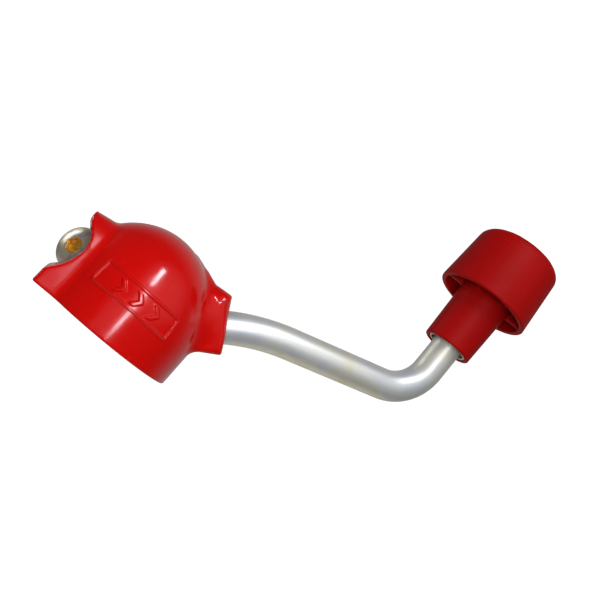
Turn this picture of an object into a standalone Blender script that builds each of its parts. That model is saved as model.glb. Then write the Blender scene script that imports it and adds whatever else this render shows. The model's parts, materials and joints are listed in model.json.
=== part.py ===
"""Crank handle head for a screw jack: domed cap, bent crank rod and spinning knob.

The head sits on top of the jack's round outer tube. A steel seat cup closes the tube, a
thrust ball race lies on the cup, and the drive hub turns on the race. The crank rod is
pinned in the hub, and a plastic cap covers hub and race. A plastic knob spins on the rod's
upright end.

Frame: origin at the centre of the hub neck's lower end, in the plane of the cap's rim.
+Z is the turning axis towards the dome, and the crank arm points along +X.
"""
import math

import bmesh
import bpy
from mathutils import Matrix, Vector

MM = 0.001

# Clearances
GAP = 0.3 * MM                  # between pieces that touch
RUN = 0.45 * MM                 # radial, between pieces that turn against each other

# Jack tube and the seat cup that closes it
TUBE_RADIUS = 24.0 * MM
TUBE_FIT = 0.3 * MM
SEAT_WALL = 1.2 * MM
SEAT_PLATE = 2.0 * MM
SEAT_PLATE_BASE = 4.0 * MM      # height of the plate's underside
SEAT_SKIRT_BASE = 0.8 * MM
SEAT_LAND_INNER = 12.5 * MM     # the tube stops against a flat ring proud of the plate
SEAT_LAND_INSET = 0.4 * MM      # ring's outer edge inside the tube's radius
SEAT_LAND = 0.4 * MM

# Thrust ball race
RACE_RADIUS = 13.0 * MM
RACE_PLATE = 2.7 * MM
BALL_RADIUS = 2.38 * MM
BALL_COUNT = 10
BALL_PITCH_RADIUS = 9.55 * MM
BALL_SINK = 0.58 * MM           # depth of each ball in its groove
CAGE_THICKNESS = 1.4 * MM

# Drive hub
NECK_RADIUS = 5.75 * MM
HUB_WALL = 4.5 * MM             # metal beside the rod
HUB_FLOOR = 3.0 * MM            # metal under the rod
HUB_ROOF = 2.7 * MM             # metal over the rod
ROD_CLEARANCE = 0.3 * MM        # radial, rod in the hub
LUG_HALF_WIDTH = 14.5 * MM
LUG_LOW = 11.5 * MM
LUG_TOP = 27.5 * MM
CLIP_BASE = 1.5 * MM
CLIP_THICKNESS = 0.8 * MM
CLIP_DEPTH = 0.6 * MM
CLIP_WIDTH = 2.4 * MM
NECK_WASHER_THICKNESS = 1.0 * MM
NECK_WASHER_RADIUS = 9.5 * MM

# Crank rod
ROD_RADIUS = 7.0 * MM
ROD_INNER_END = -11.0 * MM
THROW = 120.1 * MM              # from the turning axis to the knob's axis
RISE_ANGLE = math.radians(36.0)
ARM_ANGLE = math.radians(18.1)
RISE_START = 25.7 * MM          # where the rod starts to rise
RISE_LENGTH = 25.7 * MM         # from that corner to the next, along the rise
BEND_RADIUS_HUB = 22.0 * MM
BEND_RADIUS_ARM = 100.0 * MM
BEND_RADIUS_KNOB = 20.5 * MM
ROD_SIDES = 24
PIN_RADIUS = 2.5 * MM
PIN_WALL = 0.9 * MM
PIN_SLOT = 0.9 * MM

# Cap
CAP_CLEARANCE = 2.4 * MM        # radial, seat cup in the cap
CAP_WALL = 2.9 * MM
CAP_SIDE = 13.3 * MM            # height of the straight side; the dome stands on it
CAP_DOME = 34.5 * MM            # height of the dome, half an ellipsoid
CAP_RIM_EDGE = 0.5 * MM
BLOCK_PROUD = 1.5 * MM          # squared end opposite the arm, past the cap's radius
BLOCK_CREASE_INSET = 8.3 * MM   # where its flanks leave the cap's side, inside that radius
BLOCK_HEIGHT = 33.5 * MM
BLOCK_TOP_SLOPE = math.radians(13.0)
SCOOP_RADIUS = 15.7 * MM
SCOOP_DEPTH = 5.4 * MM
HOOD_CLEARANCE = 1.0 * MM       # rod in the hood
HOOD_WALL = 3.0 * MM
HOOD_PROUD = 9.0 * MM           # lower corner of the hood's end face, past the cap's radius
HOOD_LOW = 23.3 * MM            # height of that corner
HOOD_DEPTH = 24.0 * MM          # height of the end face along its own slope
HOOD_ANGLE = math.radians(30.6)  # the end face is square to this rise
HOOD_UNDER_ANGLE = math.radians(30.4)

# Cap screw
SCREW_HEIGHT = 18.4 * MM
SCREW_TURN = math.radians(55.0)  # from -X towards -Y
SCREW_SEAT_INSET = 0.2 * MM      # seat centre behind the scoop's floor, measured along X
SCREW_SEAT_SIDE = 3.0 * MM
SCREW_HEAD_RADIUS = 9.7 * MM
SCREW_HEAD_HEIGHT = 4.4 * MM
SCREW_SHANK_RADIUS = 5.0 * MM
SCREW_LENGTH = 18.0 * MM
SCREW_SOCKET_RADIUS = 3.2 * MM
SCREW_SOCKET_DEPTH = 2.8 * MM
WASHER_THICKNESS = 1.2 * MM
WASHER_RADIUS = 9.0 * MM
POCKET_CLEARANCE = 0.45 * MM

# Knob
KNOB_RISE = 13.5 * MM           # knob's lower end above the end of the rod's bend
STEM_LENGTH = 26.4 * MM
STEM_WALL = 1.8 * MM
STEM_GROWTH = 0.8 * MM          # how much wider the stem is where it enters the cup
CUP_HEIGHT = 31.4 * MM
CUP_RADIUS = 22.5 * MM
CUP_DRAFT = 1.8 * MM            # how much narrower the cup is at its shoulder
CUP_EDGE_RADIUS = 4.6 * MM
CUP_WALL = 2.4 * MM
CUP_ROOF = 4.0 * MM
RIB_COUNT = 6
RIB_THICKNESS = 2.2 * MM
RIB_RECESS = 1.6 * MM
RIB_TURN = math.radians(37.0)
SLEEVE_WALL = 0.9 * MM
SLEEVE_RECESS = 0.4 * MM
BUSH_LENGTH = 10.0 * MM
BUSH_WALL = 0.95 * MM
LOW_BUSH_INSET = 3.0 * MM       # lower bush above the knob's lower end
ROD_END_MARGIN = 2.2 * MM       # rod above its push-on ring
RING_THICKNESS = 1.0 * MM
UP_BUSH_DROP = 8.0 * MM         # upper bush below the plug
KNOB_PLUG_LIP = 0.3 * MM        # plug wider than the sleeve
KNOB_PLUG_THICKNESS = 4.2 * MM

# Smoothness of turned pieces
FINE_STEPS = 60
MID_STEPS = 36
ARC_STEPS = 10

# Sizes, heights and places that follow from the sizes above
SEAT_LAND_OUTER = TUBE_RADIUS - SEAT_LAND_INSET
SEAT_RADIUS = TUBE_RADIUS + TUBE_FIT + SEAT_WALL
CAP_RADIUS = SEAT_RADIUS + CAP_CLEARANCE + CAP_WALL
HUB_RADIUS = ROD_RADIUS + ROD_CLEARANCE + HUB_WALL
BLOCK_REACH = CAP_RADIUS + BLOCK_PROUD
BLOCK_CREASE = CAP_RADIUS - BLOCK_CREASE_INSET
HOOD_REACH = CAP_RADIUS + HOOD_PROUD
HOOD_HALF_WIDTH = ROD_RADIUS + HOOD_CLEARANCE + HOOD_WALL
LOW_RACE_BASE = SEAT_PLATE_BASE + SEAT_PLATE + GAP
LOW_RACE_TOP = LOW_RACE_BASE + RACE_PLATE
BALL_HEIGHT = LOW_RACE_TOP - BALL_SINK + BALL_RADIUS
UP_RACE_BASE = BALL_HEIGHT + BALL_RADIUS - BALL_SINK
UP_RACE_TOP = UP_RACE_BASE + RACE_PLATE
HUB_BASE = UP_RACE_TOP + GAP
ROD_HEIGHT = HUB_BASE + HUB_FLOOR + ROD_CLEARANCE + ROD_RADIUS
HUB_TOP = ROD_HEIGHT + ROD_RADIUS + ROD_CLEARANCE + HUB_ROOF
SCOOP_FLOOR = -BLOCK_REACH + SCOOP_DEPTH
SCREW_AXIS = Vector((-math.cos(SCREW_TURN), -math.sin(SCREW_TURN), 0.0))
SCREW_SEAT = Vector((SCOOP_FLOOR + SCREW_SEAT_INSET, -SCREW_SEAT_SIDE, SCREW_HEIGHT))
POCKET_RADIUS = SCREW_HEAD_RADIUS + POCKET_CLEARANCE
LUG_BACK = SCREW_SEAT.x + POCKET_RADIUS * math.sin(SCREW_TURN) + 0.7 * MM
LUG_FRONT = -(RACE_RADIUS + 2 * GAP)
CAVITY_RADIUS = CAP_RADIUS - CAP_WALL
RISE_END = Vector((RISE_START + RISE_LENGTH * math.cos(RISE_ANGLE), 0.0,
                   ROD_HEIGHT + RISE_LENGTH * math.sin(RISE_ANGLE)))
KNOB_CORNER = Vector((THROW, 0.0, RISE_END.z + (THROW - RISE_END.x) * math.tan(ARM_ANGLE)))
BEND_END = KNOB_CORNER.z + BEND_RADIUS_KNOB * math.tan(math.pi / 4 - ARM_ANGLE / 2)
KNOB_BASE = BEND_END + KNOB_RISE
CUP_BASE = KNOB_BASE + STEM_LENGTH
KNOB_TOP = CUP_BASE + CUP_HEIGHT
LOW_BUSH_BASE = KNOB_BASE + LOW_BUSH_INSET
UP_BUSH_TOP = KNOB_TOP - KNOB_PLUG_THICKNESS - UP_BUSH_DROP
RING_BASE = UP_BUSH_TOP + RING_THICKNESS + 2 * GAP
ROD_TOP = RING_BASE + RING_THICKNESS + ROD_END_MARGIN
BUSH_BORE = ROD_RADIUS + RUN
BUSH_RADIUS = BUSH_BORE + BUSH_WALL
SLEEVE_BORE = BUSH_RADIUS + GAP
SLEEVE_RADIUS = SLEEVE_BORE + SLEEVE_WALL
STEM_RADIUS = SLEEVE_RADIUS + GAP + STEM_WALL
KNOB_PLUG_RADIUS = SLEEVE_RADIUS + KNOB_PLUG_LIP


# ---------------------------------------------------------------- scene helpers

def clear_scene():
    """Remove every object of the open scene."""
    for item in list(bpy.data.objects):
        bpy.data.objects.remove(item, do_unlink=True)


def new_collection(name):
    """Return a new collection linked to the scene."""
    collection = bpy.data.collections.new(name)
    bpy.context.scene.collection.children.link(collection)
    return collection


def new_material(name, colour, roughness, metallic=0.0):
    """Return a plain Principled material."""
    material = bpy.data.materials.new(name)
    material.use_nodes = True
    shader = material.node_tree.nodes["Principled BSDF"]
    shader.inputs["Base Color"].default_value = (*colour, 1.0)
    shader.inputs["Roughness"].default_value = roughness
    shader.inputs["Metallic"].default_value = metallic
    return material


def add_object(name, data, collection, material=None):
    """Link a new object and give it its material."""
    item = bpy.data.objects.new(name, data)
    collection.objects.link(item)
    if material is not None:
        data.materials.append(material)
    return item


def hide_as_cutter(item):
    """Show a shaping solid as a wire that the model leaves out."""
    item.hide_render = True
    item.display_type = "WIRE"


def shape_with(target, tool, operation, solver="EXACT"):
    """Add a Boolean of the given operation to target."""
    modifier = target.modifiers.new(operation.lower() + "_" + tool.name, "BOOLEAN")
    modifier.operation = operation
    modifier.solver = solver
    modifier.object = tool


def parent_to(item, anchor):
    """Parent an object to an empty and keep its place."""
    item.parent = anchor
    item.matrix_parent_inverse = Matrix.Translation(-anchor.location)


# ---------------------------------------------------------------- shape helpers

def arc(centre, radius, start, end, steps=ARC_STEPS):
    """Return points (a, b) on an arc, angles in degrees, both ends included."""
    points = []
    for index in range(steps + 1):
        angle = math.radians(start + (end - start) * index / steps)
        points.append((centre[0] + radius * math.cos(angle), centre[1] + radius * math.sin(angle)))
    return points


def turned(name, profile, collection, material=None, closed=False, steps=FINE_STEPS):
    """Turn a profile of (radius, height) points about Z, its outer side given from top to bottom."""
    mesh = bpy.data.meshes.new(name)
    edges = [(index, index + 1) for index in range(len(profile) - 1)]
    if closed:
        edges.append((len(profile) - 1, 0))
    mesh.from_pydata([(radius, 0.0, height) for radius, height in profile], edges, [])
    item = add_object(name, mesh, collection, material)
    screw = item.modifiers.new("turn", "SCREW")
    screw.axis = "Z"
    screw.angle = math.tau
    screw.steps = steps
    screw.render_steps = steps
    screw.use_merge_vertices = True
    screw.merge_threshold = 0.00001
    screw.use_smooth_shade = True
    return item


def ring(name, inner, outer, base, top, collection, material=None, steps=MID_STEPS):
    """Return a plain turned ring."""
    profile = [(inner, top), (outer, top), (outer, base), (inner, base)]
    return turned(name, profile, collection, material, closed=True, steps=steps)


def disc(name, radius, base, top, collection, material=None, steps=MID_STEPS):
    """Return a solid turned disc."""
    return turned(name, [(0.0, top), (radius, top), (radius, base), (0.0, base)],
                  collection, material, steps=steps)


def block(name, low, high, collection, material=None):
    """Return a box between two corners."""
    mesh = bpy.data.meshes.new(name)
    build = bmesh.new()
    bmesh.ops.create_cube(build, size=1.0)
    size = Vector(high) - Vector(low)
    centre = (Vector(high) + Vector(low)) / 2
    bmesh.ops.transform(build, matrix=Matrix.Translation(centre) @ Matrix.Diagonal((*size, 1.0)),
                        verts=build.verts)
    build.to_mesh(mesh)
    build.free()
    return add_object(name, mesh, collection, material)


def curve_to_mesh(item, collection, material=None):
    """Replace a curve object by the closed mesh that it makes."""
    depsgraph = bpy.context.evaluated_depsgraph_get()
    mesh = bpy.data.meshes.new_from_object(item.evaluated_get(depsgraph))
    name = item.name
    matrix = item.matrix_world.copy()
    bpy.data.objects.remove(item, do_unlink=True)
    build = bmesh.new()
    build.from_mesh(mesh)
    bmesh.ops.remove_doubles(build, verts=build.verts, dist=0.000001)
    bmesh.ops.recalc_face_normals(build, faces=build.faces)
    build.to_mesh(mesh)
    build.free()
    mesh.materials.clear()
    solid = add_object(name, mesh, collection, material)
    solid.matrix_world = matrix
    return solid


def side_plate(name, outline, half_width, collection, material=None):
    """Return a flat XZ outline given thickness along Y."""
    curve = bpy.data.curves.new(name, "CURVE")
    curve.dimensions = "2D"
    curve.fill_mode = "BOTH"
    curve.extrude = half_width
    spline = curve.splines.new("POLY")
    spline.points.add(len(outline) - 1)
    for point, (x, z) in zip(spline.points, outline):
        point.co = (x, z, 0.0, 1.0)
    spline.use_cyclic_u = True
    item = add_object(name, curve, collection)
    item.rotation_euler = (math.pi / 2, 0.0, 0.0)
    bpy.context.view_layer.update()
    return curve_to_mesh(item, collection, material)


def fillet(before, corner, after, radius, steps=ARC_STEPS):
    """Return the points of the arc that rounds a corner between two straight runs."""
    first = (before - corner).normalized()
    second = (after - corner).normalized()
    half = first.angle(second) / 2
    centre = corner + (first + second).normalized() * radius / math.sin(half)
    start = corner + first * radius / math.tan(half) - centre
    axis = first.cross(second).normalized()
    sweep = math.pi - 2 * half
    points = []
    for index in range(steps + 1):
        points.append(centre + Matrix.Rotation(-sweep * index / steps, 3, axis) @ start)
    return points


def along(axis, origin):
    """Return the matrix that stands a Z-turned piece along axis at origin."""
    return Matrix.Translation(origin) @ axis.to_track_quat("Z", "Y").to_matrix().to_4x4()


# ---------------------------------------------------------------- seat and thrust race

def make_seat(parts, steel):
    """Seat cup on the end of the jack tube."""
    inside = TUBE_RADIUS + TUBE_FIT
    outside = SEAT_RADIUS
    top = SEAT_PLATE_BASE + SEAT_PLATE
    hole = NECK_RADIUS + RUN
    corner = 1.4 * MM
    profile = [(hole, top)]
    profile += [(outside - corner + x, top - corner + z) for x, z in arc((0, 0), corner, 90, 0, 4)]
    relief = SEAT_PLATE_BASE + SEAT_LAND
    profile += [(outside, SEAT_SKIRT_BASE), (inside, SEAT_SKIRT_BASE), (inside, relief),
                (SEAT_LAND_OUTER, relief), (SEAT_LAND_OUTER, SEAT_PLATE_BASE),
                (SEAT_LAND_INNER, SEAT_PLATE_BASE), (SEAT_LAND_INNER, relief), (hole, relief)]
    return turned("bearing_seat", profile, parts, steel, closed=True)


def make_race(name, base, facing_up, parts, steel):
    """Grooved race plate; the groove clears the balls by GAP."""
    bore = NECK_RADIUS + RUN
    radius = BALL_RADIUS + GAP
    top = base + RACE_PLATE
    face = top if facing_up else base
    reach = math.sqrt(radius ** 2 - (face - BALL_HEIGHT) ** 2)
    half = math.degrees(math.atan2(reach, abs(face - BALL_HEIGHT)))
    if facing_up:
        groove = arc((BALL_PITCH_RADIUS, BALL_HEIGHT), radius, -90 - half, -90 + half, 8)
        profile = [(bore, top)] + groove + [(RACE_RADIUS, top), (RACE_RADIUS, base), (bore, base)]
    else:
        groove = arc((BALL_PITCH_RADIUS, BALL_HEIGHT), radius, 90 - half, 90 + half, 8)
        profile = [(bore, top), (RACE_RADIUS, top), (RACE_RADIUS, base)] + groove + [(bore, base)]
    return turned(name, profile, parts, steel, closed=True, steps=MID_STEPS)


def make_cage(parts, cutters, brass):
    """Cage ring with a pocket for each ball."""
    inner = NECK_RADIUS + RUN
    cage = ring("ball_cage", inner, RACE_RADIUS - GAP, BALL_HEIGHT - CAGE_THICKNESS / 2,
                BALL_HEIGHT + CAGE_THICKNESS / 2, parts, brass)
    for index in range(BALL_COUNT):
        angle = math.tau * index / BALL_COUNT
        pocket = disc("ball_pocket_%02d" % (index + 1), BALL_RADIUS + GAP,
                      -CAGE_THICKNESS, CAGE_THICKNESS, cutters, steps=16)
        pocket.location = (BALL_PITCH_RADIUS * math.cos(angle), BALL_PITCH_RADIUS * math.sin(angle),
                           BALL_HEIGHT)
        hide_as_cutter(pocket)
        shape_with(cage, pocket, "DIFFERENCE")
    return cage


def make_balls(parts, steel):
    """Balls of the thrust race, which share one mesh."""
    mesh = bpy.data.meshes.new("bearing_ball")
    build = bmesh.new()
    bmesh.ops.create_icosphere(build, subdivisions=3, radius=BALL_RADIUS)
    build.to_mesh(mesh)
    build.free()
    mesh.shade_smooth()
    mesh.materials.append(steel)
    balls = []
    for index in range(BALL_COUNT):
        angle = math.tau * index / BALL_COUNT
        ball = add_object("bearing_ball_%02d" % (index + 1), mesh, parts)
        ball.location = (BALL_PITCH_RADIUS * math.cos(angle), BALL_PITCH_RADIUS * math.sin(angle),
                         BALL_HEIGHT)
        balls.append(ball)
    return balls


# ---------------------------------------------------------------- hub and its fixings

def make_hub(parts, cutters, steel):
    """Drive hub: neck through the race, barrel around the rod, lug for the cap screw."""
    clip_top = CLIP_BASE + CLIP_THICKNESS + 2 * GAP
    groove = NECK_RADIUS - CLIP_DEPTH
    edge = 1.0 * MM
    profile = [(0.0, HUB_TOP), (HUB_RADIUS - edge, HUB_TOP), (HUB_RADIUS, HUB_TOP - edge),
               (HUB_RADIUS, HUB_BASE), (NECK_RADIUS, HUB_BASE), (NECK_RADIUS, clip_top),
               (groove, clip_top), (groove, CLIP_BASE), (NECK_RADIUS, CLIP_BASE),
               (NECK_RADIUS, edge / 2), (NECK_RADIUS - edge / 2, 0.0), (0.0, 0.0)]
    hub = turned("drive_hub", profile, parts, steel, steps=MID_STEPS)
    lug = side_plate("lug_outline", [
        (LUG_BACK, LUG_LOW), (LUG_FRONT, LUG_LOW), (LUG_FRONT, HUB_BASE + GAP),
        (-NECK_RADIUS, HUB_BASE + GAP), (-NECK_RADIUS, LUG_TOP), (LUG_BACK, LUG_TOP)],
        LUG_HALF_WIDTH, cutters)
    bore = disc("rod_bore", ROD_RADIUS + ROD_CLEARANCE, 0.0, 40.0 * MM, cutters, steps=32)
    bore.matrix_world = along(Vector((1, 0, 0)), Vector((ROD_INNER_END - GAP, 0, ROD_HEIGHT)))
    thread = disc("screw_thread_hole", SCREW_SHANK_RADIUS + GAP, -30.0 * MM, 0.0, cutters, steps=24)
    thread.matrix_world = along(SCREW_AXIS, SCREW_SEAT)
    for tool, operation in ((lug, "UNION"), (bore, "DIFFERENCE"), (thread, "DIFFERENCE"),
                            (pin_hole(cutters, "hub_pin_hole"), "DIFFERENCE")):
        hide_as_cutter(tool)
        shape_with(hub, tool, operation)
    return hub


def pin_hole(cutters, name):
    """Cutter for the cross hole of the rod pin."""
    hole = disc(name, PIN_RADIUS + GAP, -20.0 * MM, 20.0 * MM, cutters, steps=16)
    hole.matrix_world = along(Vector((0, 1, 0)), Vector((0, 0, ROD_HEIGHT)))
    hide_as_cutter(hole)
    return hole


def make_rod_pin(parts, cutters, steel):
    """Slotted spring pin through hub and rod."""
    half = HUB_RADIUS - 0.6 * MM
    pin = ring("rod_pin", PIN_RADIUS - PIN_WALL, PIN_RADIUS, -half, half, parts, steel, steps=24)
    slot = block("pin_slot", (0.0, -PIN_SLOT / 2, -2 * half), (2 * PIN_RADIUS, PIN_SLOT / 2, 2 * half),
                 cutters)
    hide_as_cutter(slot)
    shape_with(pin, slot, "DIFFERENCE")
    place = along(Vector((0, 1, 0)), Vector((0, 0, ROD_HEIGHT)))
    pin.matrix_world = place
    slot.matrix_world = place
    return pin


def make_neck_washer(parts, steel):
    """Washer under the seat plate."""
    top = SEAT_PLATE_BASE - GAP
    return ring("neck_washer", NECK_RADIUS + GAP, NECK_WASHER_RADIUS, top - NECK_WASHER_THICKNESS,
                top, parts, steel)


def make_neck_clip(parts, cutters, steel):
    """Open retaining ring in the neck's groove."""
    inner = NECK_RADIUS - CLIP_DEPTH + GAP
    base = CLIP_BASE + GAP
    clip = ring("neck_clip", inner, inner + CLIP_WIDTH, base, base + CLIP_THICKNESS, parts, steel)
    mouth = block("clip_mouth", (0.0, -2.0 * MM, 0.0), (2 * inner, 2.0 * MM, 4.0 * MM), cutters)
    hide_as_cutter(mouth)
    shape_with(clip, mouth, "DIFFERENCE")
    return clip


# ---------------------------------------------------------------- crank rod

def rod_path():
    """Return the rod's centreline: level in the hub, rising through the hood, upright in the knob."""
    start = Vector((ROD_INNER_END, 0, ROD_HEIGHT))
    rise = Vector((RISE_START, 0, ROD_HEIGHT))
    end = Vector((THROW, 0, ROD_TOP))
    path = [start, Vector((0, 0, ROD_HEIGHT))]
    path += fillet(start, rise, RISE_END, BEND_RADIUS_HUB, 8)
    path += fillet(rise, RISE_END, KNOB_CORNER, BEND_RADIUS_ARM, 6)
    path += fillet(RISE_END, KNOB_CORNER, end, BEND_RADIUS_KNOB, 14)
    path.append(end)
    return path


def make_rod(parts, cutters, zinc):
    """Crank rod, a bent round bar with a cross hole for its pin."""
    curve = bpy.data.curves.new("crank_rod", "CURVE")
    curve.dimensions = "3D"
    curve.bevel_depth = ROD_RADIUS
    curve.bevel_resolution = (ROD_SIDES - 4) // 2
    curve.use_fill_caps = True
    spline = curve.splines.new("POLY")
    path = rod_path()
    spline.points.add(len(path) - 1)
    for point, place in zip(spline.points, path):
        point.co = (*place, 1.0)
    bpy.context.view_layer.update()
    rod = curve_to_mesh(add_object("crank_rod", curve, cutters), parts, zinc)
    rod.data.shade_smooth()
    rod.data.set_sharp_from_angle(angle=math.radians(40))
    shape_with(rod, pin_hole(cutters, "rod_pin_hole"), "DIFFERENCE")
    return rod


# ---------------------------------------------------------------- cap

def hood_outline():
    """Return the hood's side outline, from the dome out to its sloping end face."""
    crown_x = HOOD_REACH - HOOD_DEPTH * math.sin(HOOD_ANGLE)
    crown_z = HOOD_LOW + HOOD_DEPTH * math.cos(HOOD_ANGLE)
    foot_x = CAP_RADIUS - CAP_WALL
    foot_z = HOOD_LOW - (HOOD_REACH - foot_x) * math.tan(HOOD_UNDER_ANGLE)
    top = CAP_SIDE + CAP_DOME
    return [(6.0 * MM, foot_z), (6.0 * MM, top - 1.0 * MM), (10.0 * MM, top - 1.3 * MM),
            (14.5 * MM, top - 2.4 * MM), (20.0 * MM, top - 4.5 * MM),
            (crown_x - 4.0 * MM, crown_z - 0.4 * MM), (crown_x - 0.8 * MM, crown_z),
            (crown_x, crown_z - 0.5 * MM), (HOOD_REACH, HOOD_LOW), (foot_x, foot_z)]


def channel_outline():
    """Return the side outline of the rod's way through the hood, open underneath."""
    slope = Vector((math.cos(RISE_ANGLE), math.sin(RISE_ANGLE)))
    square = Vector((-slope.y, slope.x))
    over = ROD_RADIUS + HOOD_CLEARANCE
    level = ROD_HEIGHT + over
    upper = Vector((RISE_START, ROD_HEIGHT)) + square * over
    turn = upper + slope * ((level - upper.y) / slope.y)
    far = upper + slope * 40.0 * MM
    sill = CAP_SIDE + 4.8 * MM
    outside = CAP_RADIUS + 0.15 * MM
    below = CAP_SIDE / 2
    return [(6.0 * MM, sill), (6.0 * MM, level), (turn.x, level), (far.x, far.y),
            (far.x + 20.0 * MM, below), (outside, below), (outside, sill)]


def block_outline():
    """Return the side outline of the squared end, with its sloping top."""
    peak = BLOCK_HEIGHT
    inward = 14.0 * MM
    return [(-BLOCK_REACH, 0.0), (-BLOCK_REACH, peak - 1.6 * MM),
            (-BLOCK_REACH + 0.5 * MM, peak - 0.5 * MM), (-BLOCK_REACH + 1.6 * MM, peak),
            (-BLOCK_REACH + inward, peak + inward * math.tan(BLOCK_TOP_SLOPE)),
            (-BLOCK_REACH + inward, 0.0)]


def dome_arc(radius, height, start, end, steps):
    """Return points on the dome's section, a stretched arc over the straight side."""
    stretch = height / radius
    return [(x, CAP_SIDE + z * stretch) for x, z in arc((0.0, 0.0), radius, start, end, steps)]


def end_arch_outline():
    """Return the end view of the squared end: the cap's own section at the crease."""
    share = math.sqrt(1.0 - (BLOCK_CREASE / CAP_RADIUS) ** 2)
    radius = CAP_RADIUS * share
    return [(-radius, -MM)] + dome_arc(radius, CAP_DOME * share, 180, 0, 24) + [(radius, -MM)]


def make_cap(parts, cutters, red):
    """Cap: dome on a straight side, squared end with a scoop, and the rod's hood."""
    dome = dome_arc(CAP_RADIUS, CAP_DOME, 90, 0, 18)
    profile = [(0.0, dome[0][1])] + dome[1:]
    profile += [(CAP_RADIUS, CAP_RIM_EDGE), (CAP_RADIUS - CAP_RIM_EDGE, 0.0), (0.0, 0.0)]
    cap = turned("cap_shell", profile, parts, red)

    squared = side_plate("squared_end", block_outline(), CAP_RADIUS, cutters)
    arch = side_plate("end_arch", end_arch_outline(), 2 * CAP_RADIUS, cutters)
    arch.matrix_world = Matrix.Rotation(math.pi / 2, 4, "Z") @ arch.matrix_world
    shape_with(squared, arch, "INTERSECT")
    hood = side_plate("hood_body", hood_outline(), HOOD_HALF_WIDTH, cutters)

    cavity_dome = dome_arc(CAVITY_RADIUS, CAP_DOME - CAP_WALL, 90, 0, 12)
    cavity = turned("cap_cavity", [(0.0, cavity_dome[0][1])] + cavity_dome[1:]
                    + [(CAVITY_RADIUS, -MM), (0.0, -MM)], cutters)
    screw_boss = block("screw_boss_keep", (-2 * CAP_RADIUS, -CAP_RADIUS, LUG_LOW - 3.0 * MM),
                       (LUG_BACK - GAP, CAP_RADIUS, 2 * CAP_RADIUS), cutters)
    shape_with(cavity, screw_boss, "DIFFERENCE")

    channel = side_plate("rod_channel", channel_outline(), HOOD_HALF_WIDTH - HOOD_WALL, cutters)
    scoop = disc("scoop", SCOOP_RADIUS, -2 * CAP_RADIUS, 2 * CAP_RADIUS, cutters)
    scoop.matrix_world = along(Vector((0, 1, 0)), Vector((SCOOP_FLOOR - SCOOP_RADIUS, 0, SCREW_HEIGHT)))
    pocket = disc("screw_pocket", POCKET_RADIUS, 0.0, 30.0 * MM, cutters)
    pocket.matrix_world = along(SCREW_AXIS, SCREW_SEAT)
    shank_way = disc("screw_way", SCREW_SHANK_RADIUS + GAP, -24.0 * MM, MM, cutters, steps=24)
    shank_way.matrix_world = along(SCREW_AXIS, SCREW_SEAT)
    for tool, operation in ((squared, "UNION"), (hood, "UNION"), (cavity, "DIFFERENCE"),
                            (channel, "DIFFERENCE"), (scoop, "DIFFERENCE"), (pocket, "DIFFERENCE"),
                            (shank_way, "DIFFERENCE")):
        hide_as_cutter(tool)
        # the exact solver drops faces of the cavity's wall at the scoop, with every mesh closed
        shape_with(cap, tool, operation, "MANIFOLD")
    hide_as_cutter(screw_boss)
    hide_as_cutter(arch)
    return cap


def make_screw(parts, cutters, steel):
    """Button-head screw with a hexagon socket, along the turned screw axis."""
    base = 2 * GAP + WASHER_THICKNESS
    crown = SCREW_SOCKET_RADIUS + 1.2 * MM
    drop = SCREW_HEAD_HEIGHT - 1.0 * MM
    profile = [(0.0, base + SCREW_HEAD_HEIGHT), (crown, base + SCREW_HEAD_HEIGHT)]
    for index in range(1, 9):
        angle = math.pi / 2 * index / 8
        profile.append((crown + (SCREW_HEAD_RADIUS - crown) * math.sin(angle),
                        base + SCREW_HEAD_HEIGHT - drop * (1.0 - math.cos(angle))))
    tip = base - SCREW_LENGTH
    profile += [(SCREW_HEAD_RADIUS, base), (SCREW_SHANK_RADIUS, base),
                (SCREW_SHANK_RADIUS, tip + 0.8 * MM), (SCREW_SHANK_RADIUS - 0.8 * MM, tip), (0.0, tip)]
    screw = turned("cap_screw", profile, parts, steel, steps=MID_STEPS)
    socket = disc("screw_socket", SCREW_SOCKET_RADIUS, base + SCREW_HEAD_HEIGHT - SCREW_SOCKET_DEPTH,
                  base + SCREW_HEAD_HEIGHT + MM, cutters, steps=6)
    hide_as_cutter(socket)
    shape_with(screw, socket, "DIFFERENCE")
    screw.matrix_world = along(SCREW_AXIS, SCREW_SEAT)
    socket.matrix_world = screw.matrix_world.copy()
    return screw


def make_screw_washer(parts, steel):
    """Flat washer under the screw's head."""
    washer = ring("screw_washer", SCREW_SHANK_RADIUS + GAP, WASHER_RADIUS, GAP,
                  GAP + WASHER_THICKNESS, parts, steel)
    washer.matrix_world = along(SCREW_AXIS, SCREW_SEAT)
    return washer


# ---------------------------------------------------------------- knob

def cup_outer(height):
    """Return the cup's outer radius at a height, with its draft."""
    shoulder = KNOB_TOP - CUP_EDGE_RADIUS
    return CUP_RADIUS - CUP_DRAFT * (height - CUP_BASE) / (shoulder - CUP_BASE)


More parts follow.
